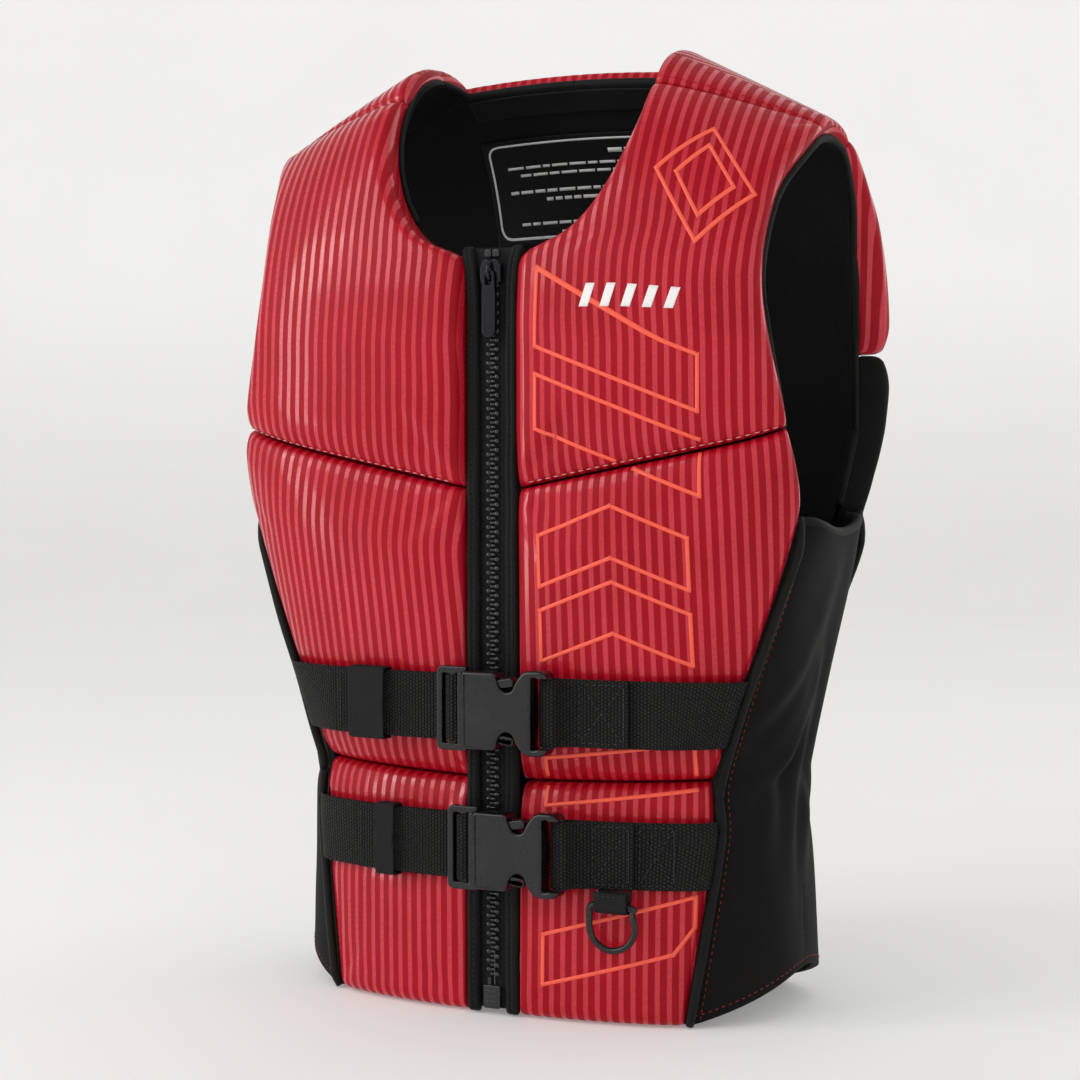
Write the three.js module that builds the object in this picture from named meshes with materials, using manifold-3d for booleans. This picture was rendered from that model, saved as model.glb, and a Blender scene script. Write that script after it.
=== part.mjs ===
// A sleeveless neoprene flotation vest with a front zip and two buckled belts.
// Millimetres, +Z up. The front faces -Y and the wearer's left is +X; the hem stands on Z = 0.

import * as THREE from "three";
import { mergeVertices } from "three/addons/utils/BufferGeometryUtils.js";
import Module from "manifold-3d";

const wasm = await Module();
wasm.setup();

// ---- driving dimensions ----------------------------------------------------------------

// Girth of the outer surface at four levels: half width, front and back depth from the middle
// plane, and how square the front and back corners are (2 is an ellipse).
const waistLevel = 145;
const chestLevel = 350;
const archLevel = 400;
const girths = [
  { level: 0, halfWidth: 172, front: 94, back: 92, frontSquare: 2.4, backSquare: 3.2 },
  { level: waistLevel, halfWidth: 166, front: 90, back: 86, frontSquare: 2.6, backSquare: 3.0 },
  { level: chestLevel, halfWidth: 208, front: 104, back: 110, frontSquare: 4.0, backSquare: 3.4 },
  { level: archLevel, halfWidth: 208, front: 104, back: 113, frontSquare: 4.0, backSquare: 3.2 },
];

// Above archLevel the surface arches back over the shoulders. Run is measured up the front,
// over the crest at crestRun and down the back.
const crestRun = 600;
const neckRidge = 583;
const shoulderDrop = 50;
const neckRun = 438;
const neckHalf = 86;
const shoulderHalf = 184;
const collarLift = 5;

// Edges of the front and back: half width against run.
const frontEdge = [[0, 120], [110, 136], [waistLevel, 136], [300, 188], [345, 187],
  [430, 170], [490, 172], [540, 181], [crestRun, shoulderHalf]];
const backEdge = [[0, 120], [waistLevel, 128], [290, 184], [345, 199], [400, 204],
  [470, 200], [530, 191], [crestRun, shoulderHalf]];
const backNeckHalf = 78;
const backNeckRun = 562;

// Seams across the front: run at the zip side and at the outer side.
const waistSeam = [141, waistLevel];
const chestSeam = [315, 351];
const yokeSeam = [535, 572];
const backSeams = [150, 395];
const armpitRun = 302;
const armpitDip = 13;
const sideHemRise = 26;

// Thickness of the padded panels, of the cloth around the foam, and of the plain side panels.
const padThickness = 26;
const shoulderThickness = 16;
const padThinFrom = 460;
const coverWall = 3;
const rimWall = 4;
const foamGap = 1.8;
const foamTrim = 2;
const liningGap = 2.6;
const sideGap = 1.6;
const liningThickness = 1.6;
const sidePanelThickness = 5;
const sidePanelDepth = 8;
const edgeRoll = 11;
const rollPower = 4;
const rollSpare = 10.4;

const clearance = 0.4;

// Zip: the chain lies in the plane y = -zipDepth.
const zipDepth = 88;
const zipBottom = 4;
const zipTop = 457;
const toothPitch = 8;
const toothReach = 3.4;
const toothPast = 1.4;
const chainThickness = 2.4;
const beadWidth = 1.4;
const tapeThickness = 0.8;
const tapeWidth = 13.4;
const facingWidth = 8.4;
const facingThickness = 5;
const zipGap = 17.4;
const retainerHeight = 14;
const sliderHeight = 15;
const sliderWall = 2;
const pullLength = 38;
const pullWidth = 9;
const pullThickness = 2;

// Belts and their side-release buckles.
const webWidth = 40;
const webThickness = 1.8;
const belts = [
  { name: "upper", middle: 185, buckleStart: -29, keeperAt: -79, keeperWidth: 26, tailEnd: -104 },
  { name: "lower", middle: 102, buckleStart: -23, keeperAt: -68, keeperWidth: 14, tailEnd: -92 },
];
const keeperWall = 1.1;
const keeperSlack = 4.2;
const stitchedEnd = 90;
const buckleHeight = 50;
const frameLength = 20;
const barWidth = 4;
const slotWidth = 4.2;
const housingThickness = 13;
const housingWall = 1.8;
const housingLength = 22;
const housingHalf = 23;
const notchEnd = 57;
const neckHalfHeight = 12;
const buckleEnd = 76;
const prongLength = 33;
const prongWidth = 4.5;
const prongOffset = 14.6;
const tongueHalf = 5;
const tongueEnd = 50;
const latchStep = 1.7;

// D-ring on the lower belt.
const ringCentre = 80;
const ringInside = 25;
const ringDrop = 26;
const ringWire = 4;
const loopWidth = 21;
const ringStandoff = 7.8;

// Label inside the back.
const labelHalf = 80;
const labelRuns = [456, 522];
const labelThickness = 0.8;
const collarDepth = 22;

// ---- materials ---------------------------------------------------------------------------

const finish = (color, roughness, metalness = 0) =>
  new THREE.MeshStandardMaterial({ color, roughness, metalness });
const finishes = {
  cover: finish(0xa51220, 0.45),
  neoprene: finish(0x161617, 0.85),
  lining: finish(0x111112, 0.9),
  foam: finish(0xe6e2d8, 0.8),
  webbing: finish(0x0f0f10, 0.75),
  tape: finish(0x0c0c0d, 0.85),
  teeth: finish(0x141416, 0.35),
  buckle: finish(0x0b0b0c, 0.42),
  hardware: finish(0x121214, 0.38),
  label: finish(0x1a1a1c, 0.6),
};

// ---- helpers -------------------------------------------------------------------------------

const lerp = THREE.MathUtils.lerp;
const clamp = THREE.MathUtils.clamp;

// A smooth curve through [position, value] pairs.
function through(pairs, at) {
  const last = pairs.length - 2;
  let i = 0;
  while (i < last && at > pairs[i + 1][0]) i += 1;
  const slope = (k) => {
    const before = pairs[Math.max(k - 1, 0)];
    const after = pairs[Math.min(k + 1, pairs.length - 1)];
    return (after[1] - before[1]) / (after[0] - before[0]);
  };
  const [p0, v0] = pairs[i];
  const [p1, v1] = pairs[i + 1];
  const span = p1 - p0;
  const t = clamp((at - p0) / span, 0, 1);
  const rise = slope(i) * span;
  const fall = slope(i + 1) * span;
  const a = 2 * v0 - 2 * v1 + rise + fall;
  const b = -3 * v0 + 3 * v1 - 2 * rise - fall;
  return ((a * t + b) * t + rise) * t + v0;
}

// Gives a geometry merged vertices and faces that point out.
function closed(geometry) {
  geometry.deleteAttribute("normal");
  geometry.deleteAttribute("uv");
  const body = mergeVertices(geometry, 1e-3);
  const position = body.attributes.position;
  const corner = [0, 1, 2].map(() => new THREE.Vector3());
  const index = body.index.array;
  let volume = 0;
  for (let i = 0; i < index.length; i += 3) {
    corner.forEach((c, k) => c.fromBufferAttribute(position, index[i + k]));
    volume += corner[0].dot(corner[1].clone().cross(corner[2]));
  }
  if (volume < 0) {
    for (let i = 0; i < index.length; i += 3) {
      [index[i], index[i + 1]] = [index[i + 1], index[i]];
    }
  }
  body.computeVertexNormals();
  return body;
}

function solid(geometry) {
  const body = closed(geometry);
  const vertProperties = Float32Array.from(body.attributes.position.array);
  const triVerts = Uint32Array.from(body.index.array);
  return new wasm.Manifold(new wasm.Mesh({ numProp: 3, vertProperties, triVerts }));
}

function surfaceOf(manifold) {
  const mesh = manifold.getMesh();
  const geometry = new THREE.BufferGeometry();
  geometry.setAttribute("position", new THREE.BufferAttribute(mesh.vertProperties, 3));
  geometry.setIndex(new THREE.BufferAttribute(mesh.triVerts, 1));
  geometry.computeVertexNormals();
  return geometry;
}

const vest = new THREE.Group();

function add(name, geometry, material) {
  const mesh = new THREE.Mesh(geometry, material);
  mesh.name = name;
  vest.add(mesh);
}

function block(x, y, z) {
  const box = new THREE.BoxGeometry(x[1] - x[0], y[1] - y[0], z[1] - z[0]);
  return box.translate((x[0] + x[1]) / 2, (y[0] + y[1]) / 2, (z[0] + z[1]) / 2);
}

// An outline in XZ, made depth thick towards -Y from the plane y = back.
function plate(points, back, depth, holes = []) {
  const toPoints = (list) => list.map(([x, z]) => new THREE.Vector2(x, z));
  const outline = toPoints(points);
  if (THREE.ShapeUtils.isClockWise(outline)) outline.reverse();
  const shape = new THREE.Shape(outline);
  shape.holes = holes.map((hole) => new THREE.Path(toPoints(hole)));
  const geometry = new THREE.ExtrudeGeometry(shape, { depth, bevelEnabled: false });
  return geometry.rotateX(Math.PI / 2).translate(0, back, 0);
}

// A web of even thickness along a path in XY, standing from low to high.
function web(path, thickness, low, high) {
  const left = [];
  const right = [];
  path.forEach((point, i) => {
    const before = path[Math.max(i - 1, 0)];
    const after = path[Math.min(i + 1, path.length - 1)];
    const along = after.clone().sub(before).normalize();
    const across = new THREE.Vector2(-along.y, along.x).multiplyScalar(thickness / 2);
    left.push(point.clone().add(across));
    right.unshift(point.clone().sub(across));
  });
  const shape = new THREE.Shape([...left, ...right]);
  const geometry = new THREE.ExtrudeGeometry(shape, { depth: high - low, bevelEnabled: false });
  return closed(geometry.translate(0, 0, low));
}

// ---- the vest's outer surface ----------------------------------------------------------------

function girthAt(level) {
  let i = 0;
  while (i < girths.length - 2 && level > girths[i + 1].level) i += 1;
  const low = girths[i];
  const high = girths[i + 1];
  const t = clamp((level - low.level) / (high.level - low.level), 0, 1);
  const mix = {};
  for (const key of Object.keys(low)) mix[key] = lerp(low[key], high[key], t);
  return mix;
}

// A point of the girth. Turn goes from 0 at the front middle to PI at the back middle.
function girthPoint(turn, level) {
  const g = girthAt(level);
  const isBack = turn > Math.PI / 2;
  const square = isBack ? g.backSquare : g.frontSquare;
  const depth = isBack ? g.back : g.front;
  const s = Math.sin(turn);
  const c = Math.cos(turn);
  const reach = (Math.abs(s) ** square + Math.abs(c) ** square) ** (-1 / square);
  return new THREE.Vector2(g.halfWidth * reach * s, -depth * reach * c);
}

// The turn at which the girth is x wide.
function turnAt(x, level, isBack) {
  const g = girthAt(level);
  const square = isBack ? g.backSquare : g.frontSquare;
  const share = clamp(Math.abs(x) / g.halfWidth, 1e-4, 0.9999);
  const cot = (share ** -square - 1) ** (1 / square);
  const turn = Math.atan2(1, cot);
  return isBack ? Math.PI - turn : turn;
}

function ridgeAt(x) {
  const t = (x - neckHalf) / (shoulderHalf - neckHalf);
  if (t > 0) return neckRidge - shoulderDrop * t;
  return neckRidge + collarLift * (1 - (x / neckHalf) ** 2);
}

// A point of the outer surface from a turn and a run.
function surface(turn, run) {
  const flat = girthPoint(turn, Math.min(run, archLevel));
  if (run <= archLevel) return new THREE.Vector3(flat.x, flat.y, run);
  const lean = ((run - archLevel) / (crestRun - archLevel)) * (Math.PI / 2);
  const rise = ridgeAt(flat.x) - archLevel;
  return new THREE.Vector3(flat.x, flat.y * Math.cos(lean), archLevel + rise * Math.sin(lean));
}

// The same point, a depth inside the surface, for the half of the vest that side names.
function inside(side, turn, run, depth) {
  const step = 0.002;
  const here = surface(turn, run);
  const around = surface(turn + step, run).sub(surface(turn - step, run));
  const up = run <= archLevel
    ? new THREE.Vector3(0, 0, 1)
    : surface(turn, run + step).sub(surface(turn, run - step));
  const outward = around.cross(up).normalize();
  here.addScaledVector(outward, -depth);
  return new THREE.Vector3(here.x * side, here.y, here.z);
}

// Path runs past the crest go down the back.
function spot(side, x, pathRun, depth) {
  const isBack = pathRun > crestRun;
  const run = isBack ? 2 * crestRun - pathRun : pathRun;
  const turn = turnAt(x, Math.min(run, archLevel), isBack);
  return inside(side, turn, Math.min(run, crestRun - 0.01), depth);
}

// The angle of x from the middle of the front or of the back, and the x of such an angle.
function fold(x, level, isBack) {
  const turn = turnAt(x, level, isBack);
  return Math.sign(x) * (isBack ? Math.PI - turn : turn);
}

function unfold(angle, level, isBack) {
  const turn = isBack ? Math.PI - Math.abs(angle) : Math.abs(angle);
  return Math.sign(angle) * girthPoint(turn, level).x;
}

// The x at a share of the way between two edges, in even turns, kept in from both edges.
function spread([left, right], share, pathRun, isBack, inset) {
  const level = Math.min(pathRun, archLevel);
  const edges = [left, right].map((x) => fold(x, level, isBack));
  const flat = [left, right].map((x) => girthPoint(turnAt(x, level, isBack), level));
  const chord = Math.hypot(right - left, flat[1].y - flat[0].y);
  const margin = inset / chord;
  return unfold(lerp(edges[0], edges[1], lerp(margin, 1 - margin, share)), level, isBack);
}

function innerEdge(pathRun) {
  if (pathRun > crestRun) {
    return lerp(neckHalf, backNeckHalf, (pathRun - crestRun) / (crestRun - backNeckRun));
  }
  const t = clamp((pathRun - neckRun) / (crestRun - neckRun), 0, 1);
  return lerp(zipGap, neckHalf, Math.sqrt(1 - (1 - t) ** 4));
}

const outerEdge = (pathRun) => pathRun > crestRun
  ? through(backEdge, 2 * crestRun - pathRun)
  : through(frontEdge, pathRun);

function thicknessAt(pathRun) {
  const run = pathRun > crestRun ? 2 * crestRun - pathRun : pathRun;
  const t = clamp((run - padThinFrom) / (backNeckRun - padThinFrom), 0, 1);
  return lerp(padThickness, shoulderThickness, t);
}

// ---- padded panels -----------------------------------------------------------------------------

// Even shares, drawn a little towards both ends.
const rounded = (t) => lerp(t, 0.5 - 0.5 * Math.cos(Math.PI * t), 0.6);
const crown = (t) => (1 - Math.abs(2 * t - 1) ** rollPower) ** (1 / rollPower);

// A slab whose corners in (across, through, up) shares are put in place one by one.
function slab(place, across, up) {
  const geometry = new THREE.BoxGeometry(1, 1, 1, across, 1, up);
  const position = geometry.attributes.position;
  for (let i = 0; i < position.count; i += 1) {
    const point = place(position.getX(i) + 0.5, position.getY(i) + 0.5, position.getZ(i) + 0.5);
    position.setXYZ(i, point.x, point.y, point.z);
  }
  return closed(geometry);
}

// How far the padded surface rolls in at a share across and up the panel.
function rollIn(panel, across, up, run) {
  const deepest = thicknessAt(run) - rollSpare;
  const zipRoll = panel.zipSide && across < 0.5
    ? Math.max(girthAt(Math.min(run, archLevel)).front - zipDepth - 2, 2)
    : edgeRoll;
  const acrossPart = Math.min(zipRoll, deepest) * (1 - crown(across));
  const upPart = Math.min(edgeRoll, deepest) * (1 - crown(up));
  return Math.min(Math.hypot(acrossPart, upPart), deepest);
}

// One layer of a panel, between two depths. Inset keeps it in from the panel's edges.
function layer(panel, inset, outerDepth, innerDepth) {
  return slab((across, outwards, up) => {
    const u = rounded(across);
    const v = rounded(up);
    const low = panel.low(u) + inset;
    const high = panel.high(u) - inset;
    const run = lerp(low, high, v);
    const x = spread(panel.sides(run), u, run, panel.isBack, inset);
    const rolled = outwards > 0.5 ? outerDepth + rollIn(panel, u, v, run) : innerDepth(run);
    return panel.put(x, run, rolled);
  }, panel.across, panel.up);
}

function paddedPanel(panel, material) {
  const back = (run) => thicknessAt(run) - liningThickness - liningGap;
  const outer = solid(layer(panel, clearance, 0, back));
  const pocket = solid(layer(panel, rimWall, coverWall, (run) => back(run) + 1));
  add(`${panel.name}_cover`, surfaceOf(outer.subtract(pocket)), material);
  const foamInset = rimWall + foamGap + foamTrim;
  add(`${panel.name}_foam`, layer(panel, foamInset, coverWall + foamGap, back), finishes.foam);
}

const between = (pair) => (u) => lerp(pair[0], pair[1], u);
const hem = () => -clearance;
const sideNames = [["left", 1], ["right", -1]];

for (const [sideName, side] of sideNames) {
  const put = (x, run, depth) => spot(side, x, run, depth);
  const sides = (run) => [innerEdge(run), outerEdge(run)];
  const front = { put, sides, across: 6, zipSide: true, isBack: false };
  paddedPanel({ ...front, name: `${sideName}_waist`, low: hem, high: between(waistSeam), up: 4 },
    finishes.cover);
  paddedPanel({ ...front, name: `${sideName}_middle`, low: between(waistSeam),
    high: between(chestSeam), up: 5 }, finishes.cover);
  paddedPanel({ ...front, name: `${sideName}_chest`, low: between(chestSeam),
    high: between(yokeSeam), up: 8 }, finishes.cover);
  paddedPanel({ ...front, name: `${sideName}_yoke`, low: between(yokeSeam),
    high: () => 2 * crestRun - backNeckRun, up: 8, across: 4, zipSide: false }, finishes.cover);
}

const backPut = (x, run, depth) => {
  const side = x < 0 ? -1 : 1;
  return inside(side, turnAt(x, Math.min(run, archLevel), true), run, depth);
};
const backSides = (run) => [-through(backEdge, run), through(backEdge, run)];
const backPanel = { put: backPut, sides: backSides, across: 14, zipSide: false, isBack: true };
paddedPanel({ ...backPanel, name: "back_lower", low: hem, high: () => backSeams[0], up: 3 },
  finishes.neoprene);
paddedPanel({ ...backPanel, name: "back_middle", low: () => backSeams[0],
  high: () => backSeams[1], up: 5 }, finishes.neoprene);
paddedPanel({ ...backPanel, name: "back_upper", low: () => backSeams[1],
  high: () => backNeckRun, up: 6 }, finishes.cover);

// ---- linings, side panels, collar and label --------------------------------------------------------

// A thin sheet at a fixed depth, with its rows at chosen runs.
function sheet(rows, { put, sides, isBack }, outerDepth, thickness, across) {
  return slab((a, t, b) => {
    const row = Math.round(b * (rows.length - 1));
    const run = rows[row];
    const x = spread(sides(run), rounded(a), run, isBack, clearance);
    return put(x, run, outerDepth(run) + (t > 0.5 ? 0 : thickness));
  }, across, rows.length - 1);
}

const liningDepth = (run) => thicknessAt(run) - liningThickness;
const backTopRun = 2 * crestRun - backNeckRun;
const risingRows = [1, waistLevel, 215, 285, chestLevel, archLevel, 430, padThinFrom, 490, 520,
  545, 570, 590, crestRun, 618, backTopRun - clearance];
const backRows = [1, waistLevel, 200, 250, 300, chestLevel, archLevel, 430, padThinFrom, 490, 520,
  545, backNeckRun - clearance];

for (const [sideName, side] of sideNames) {
  const put = (x, run, depth) => spot(side, x, run, depth);
  const sides = (run) => [innerEdge(run), outerEdge(run)];
  add(`${sideName}_front_lining`,
    sheet(risingRows, { put, sides, isBack: false }, liningDepth, liningThickness, 6),
    finishes.lining);
}
add("back_lining", sheet(backRows, backPanel, liningDepth, liningThickness, 14), finishes.lining);

const innerFace = (run) => thicknessAt(run) + 2.6;
const collarPatch = { ...backPanel, sides: () => [-backNeckHalf, backNeckHalf] };
add("collar_facing", sheet([backNeckRun - collarDepth, backNeckRun - 10, backNeckRun - 1],
  collarPatch, innerFace, 1, 6), finishes.lining);
const labelRows = [labelRuns[0], 478, 500, labelRuns[1]];
const labelPatch = { ...backPanel, sides: () => [-labelHalf, labelHalf] };
add("inner_label", sheet(labelRows, labelPatch, innerFace, labelThickness, 8), finishes.label);

// A side panel joins the front and back seams. Its hem and its armpit edge are both curved.
for (const [sideName, side] of sideNames) {
  const panel = slab((across, t, up) => {
    const bow = Math.sin(Math.PI * across);
    const low = 1 + sideHemRise * bow;
    const high = armpitRun - armpitDip * bow;
    const run = lerp(low, high, up);
    const from = turnAt(through(frontEdge, run) + sideGap, run, false);
    const to = turnAt(through(backEdge, run) + sideGap, run, true);
    const depth = sidePanelDepth + (t > 0.5 ? 0 : sidePanelThickness);
    return inside(side, lerp(from, to, across), run, depth);
  }, 10, 8);
  add(`${sideName}_side_panel`, panel, finishes.neoprene);
}

// ---- zip -----------------------------------------------------------------------------------------

const chainBack = -zipDepth + clearance;
const chainFront = chainBack - chainThickness;
const teethFrom = zipBottom + retainerHeight + 6;
const teethTo = zipTop - 6;

// One half of the chain: teeth on a bead, as a comb. Shift moves it by half a pitch.
function comb(side, shift) {
  const toothHeight = toothPitch / 2 - clearance;
  const points = [[toothReach + beadWidth, teethFrom - 1], [toothReach, teethFrom - 1]];
  for (let z = teethFrom + shift; z + toothHeight < teethTo; z += toothPitch) {
    points.push([toothReach, z], [-toothPast, z], [-toothPast, z + toothHeight],
      [toothReach, z + toothHeight]);
  }
  points.push([toothReach, teethTo], [toothReach + beadWidth, teethTo]);
  const placed = points.map(([x, z]) => [x * side, z]);
  return closed(plate(placed, chainBack, chainThickness));
}

for (const [sideName, side] of sideNames) {
  const span = (from, to) => side > 0 ? [from, to] : [-to, -from];
  add(`${sideName}_zip_chain`, comb(side, side > 0 ? 0 : toothPitch / 2), finishes.teeth);
  const tapeBack = chainBack + clearance + tapeThickness;
  add(`${sideName}_zip_tape`,
    closed(block(span(clearance, clearance + tapeWidth), [chainBack + clearance, tapeBack],
      [zipBottom, zipTop])), finishes.tape);
  const facingIn = zipGap - clearance - facingWidth;
  const facingBack = chainBack;
  const welt = [];
  const steps = 6;
  for (let i = 0; i <= steps; i += 1) {
    const angle = (Math.PI * i) / steps;
    const x = facingIn + facingWidth / 2 - (facingWidth / 2) * Math.cos(angle);
    welt.push(new THREE.Vector2(x * side, facingBack - facingThickness * Math.sin(angle)));
  }
  const facing = new THREE.ExtrudeGeometry(new THREE.Shape(welt),
    { depth: zipTop - 2, bevelEnabled: false }).translate(0, 0, 1);
  add(`${sideName}_zip_facing`, closed(facing), finishes.neoprene);
  add(`${sideName}_top_stop`,
    closed(block(span(clearance, toothReach + beadWidth), [chainFront, chainBack],
      [teethTo + clearance, zipTop - 1])), finishes.hardware);
}

const pinSpan = [-toothReach, -1];
const pin = block(pinSpan, [chainFront + 0.3, chainBack - 0.3], [zipBottom + 2, teethFrom - 1.5]);
add("zip_insertion_pin", closed(pin), finishes.hardware);
const retainerHalf = 5.6;
const retainer = solid(block([-retainerHalf, retainerHalf], [chainFront - 1.2, chainBack],
  [zipBottom, zipBottom + retainerHeight]));
const pinSlot = solid(block([pinSpan[0] - clearance, pinSpan[1] + clearance],
  [chainFront, chainBack + 1], [zipBottom + 2 - clearance, zipBottom + retainerHeight + 1]));
add("zip_retainer_box", surfaceOf(retainer.subtract(pinSlot)), finishes.hardware);

// The slider hugs the chain from the front and carries the pull on a lug.
const sliderTop = teethTo - 1;
const sliderLow = sliderTop - sliderHeight;
const sliderInner = toothReach + beadWidth + clearance;
const sliderFront = chainFront - clearance - sliderWall;
const sliderBody = solid(block([-sliderInner - 1.6, sliderInner + 1.6], [sliderFront, chainBack],
  [sliderLow, sliderTop]));
const sliderChannel = solid(block([-sliderInner, sliderInner], [chainFront - clearance, chainBack + 1],
  [sliderLow - 1, sliderTop + 1]));
const lugDepth = pullThickness + 2 * clearance + 1;
const lugHalf = 1.6;
const lugLow = sliderLow + 3;
const lug = solid(block([-lugHalf, lugHalf], [sliderFront - lugDepth, sliderFront + 0.5],
  [lugLow, sliderTop - 2]));
const hingeLevel = lugLow + 4;
const pullMiddle = sliderFront - clearance - pullThickness / 2;
const eyeHalf = 2;
const lugEye = solid(block([-lugHalf - 1, lugHalf + 1],
  [pullMiddle - pullThickness / 2 - clearance, pullMiddle + pullThickness / 2 + clearance],
  [hingeLevel - eyeHalf, hingeLevel + eyeHalf]));
add("zip_slider", surfaceOf(sliderBody.subtract(sliderChannel).add(lug).subtract(lugEye)),
  finishes.hardware);

// The pull is a tab with a cross bar that turns in the lug's eye.
const pullHalf = pullWidth / 2;
const pullBar = pullThickness / 2;
const pullOutline = [[-pullHalf, hingeLevel + pullBar], [-pullHalf, hingeLevel - pullLength + 3],
  [-pullHalf + 2, hingeLevel - pullLength], [pullHalf - 2, hingeLevel - pullLength],
  [pullHalf, hingeLevel - pullLength + 3], [pullHalf, hingeLevel + pullBar]];
const eyeSide = lugHalf + clearance;
const pullEye = [[-eyeSide, hingeLevel - pullBar], [-eyeSide, lugLow - 2.2],
  [eyeSide, lugLow - 2.2], [eyeSide, hingeLevel - pullBar]];
add("zip_pull", closed(plate(pullOutline, pullMiddle + pullBar, pullThickness, [pullEye])),
  finishes.hardware);

// ---- belts ---------------------------------------------------------------------------------------

const underOffset = keeperWall + 2 * clearance + webThickness / 2;
const overOffset = underOffset + webThickness + clearance;

// Points along the front surface at a level, offset outwards, from one x to another.
function beltPath(level, from, to, offset) {
  const steps = Math.max(2, Math.ceil(Math.abs(to - from) / 14));
  const path = [];
  for (let i = 0; i <= steps; i += 1) {
    const x = lerp(from, to, i / steps);
    const point = inside(Math.sign(x) || 1, turnAt(x, level, false), level, -offset);
    path.push(new THREE.Vector2(point.x, point.y));
  }
  return path;
}

function addBelt(belt) {
  const low = belt.middle - webWidth / 2;
  const high = belt.middle + webWidth / 2;
  const start = belt.buckleStart;
  const level = girthAt(low).front > girthAt(high).front ? low : high;
  const datum = -girthAt(level).front;
  const backPlane = datum - overOffset - webThickness / 2 - clearance;
  const frontPlane = backPlane - housingThickness;
  const at = (x, y) => new THREE.Vector2(start + x, y);
  const seam = outerEdge(belt.middle) - 2;

  // Wearer's right: the fixed web, and the moving tail that goes round the buckle's bar.
  const tuck = start + slotWidth * 2 + barWidth * 2;
  add(`${belt.name}_right_web`,
    web(beltPath(level, -seam, tuck, underOffset), webThickness, low, high), finishes.webbing);
  const tailLow = datum - overOffset;
  const over = backPlane - 6;
  const tail = beltPath(level, belt.tailEnd, start - 2, overOffset);
  tail.push(at(barWidth + 0.2, tailLow), at(barWidth + 1.9, backPlane - 1.6), at(barWidth + 2.4, over + 1),
    at(barWidth + 4.6, over), at(barWidth + 7.8, over), at(barWidth + 10, over + 1),
    at(barWidth + 10.5, backPlane - 1.6), at(barWidth + 12, tailLow), at(barWidth + 14.5, tailLow));
  add(`${belt.name}_tail_web`, web(tail, webThickness - 0.2, low + 0.2, high - 0.2), finishes.webbing);

  // Wearer's left: the web goes round the end bar and back on itself, where it is stitched down.
  const barAt = buckleEnd - barWidth - 2;
  const anchor = beltPath(level, seam, start + buckleEnd + 4, underOffset);
  const lowPlane = datum - underOffset;
  anchor.push(at(barAt + 1, lowPlane), at(barAt - 2, backPlane - 0.4), at(barAt - 2.4, backPlane - 3.6),
    at(barAt - 0.6, over - 0.5), at(barAt + 7, over - 0.6), at(barAt + 8.2, backPlane - 3.6),
    at(barAt + 10.5, backPlane - 0.4), at(barAt + 14, tailLow));
  anchor.push(...beltPath(level, start + buckleEnd + 13, stitchedEnd, overOffset));
  add(`${belt.name}_left_web`, web(anchor, webThickness - 0.2, low + 0.2, high - 0.2),
    finishes.webbing);

  // Male half: a frame with two slots, and a tongue. Its two prongs are pieces of their own.
  const middle = belt.middle;
  const half = buckleHeight / 2;
  const slotHalf = webWidth / 2 + 0.8;
  const frameBack = backPlane;
  const frame = [[0, -half + 3], [1, -half + 1], [3, -half], [frameLength, -half],
    [frameLength, half], [3, half], [1, half - 1], [0, half - 3]]
    .map(([x, z]) => [start + x, middle + z]);
  // A cut across the buckle, as tall as the web, from one depth to another.
  const across = (from, to, front, rear) => solid(block([start + from, start + to],
    [front, rear], [middle - slotHalf, middle + slotHalf]));
  const throughCut = (from) => across(from, from + slotWidth, frontPlane - 1, backPlane + 1);
  const firstSlot = barWidth;
  const secondSlot = barWidth + slotWidth + 3.8;
  const framePlate = solid(plate(frame, frameBack, 6))
    .subtract(throughCut(firstSlot)).subtract(throughCut(secondSlot))
    .subtract(across(firstSlot, secondSlot + 1, frameBack - 7, frameBack - 4.2))
    .subtract(across(firstSlot, secondSlot + 1, frameBack - 0.9, frameBack + 1));
  const insertBack = backPlane - housingWall - clearance;
  const insertFront = frontPlane + housingWall + clearance;
  const shoulder = solid(block([start + frameLength - 3.4, start + frameLength],
    [insertFront, frameBack], [middle - housingHalf + 1, middle + housingHalf - 1]));
  const tongue = solid(block([start + frameLength - 1, start + tongueEnd],
    [insertFront, insertBack], [middle - tongueHalf, middle + tongueHalf]));
  add(`${belt.name}_buckle_male`,
    surfaceOf(framePlate.add(shoulder).add(tongue)),
    finishes.buckle);

  // Prongs: a root, a spring leg and a finger pad with a sloping latch.
  const root = frameLength + clearance;
  const padStart = frameLength + housingLength + clearance;
  const padEnd = root + prongLength;
  for (const [prongName, up] of [["top", 1], ["bottom", -1]]) {
    const latch = housingHalf - rimWall - clearance;
    const outline = [[root, prongOffset - prongWidth / 2], [padEnd - 9, prongOffset - 1.4],
      [padEnd, prongOffset + 0.4], [padEnd + 0.4, prongOffset + 2.6], [padEnd - 1, latch + latchStep],
      [(padStart + padEnd) / 2, latch + latchStep * 0.42], [padStart, latch],
      [padStart - 5, prongOffset + prongWidth / 2], [root, prongOffset + prongWidth / 2]];
    const placed = outline.map(([x, z]) => [start + x, middle + up * z]);
    add(`${belt.name}_prong_${prongName}`,
      closed(plate(placed, insertBack, insertBack - insertFront)), finishes.buckle);
  }

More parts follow.
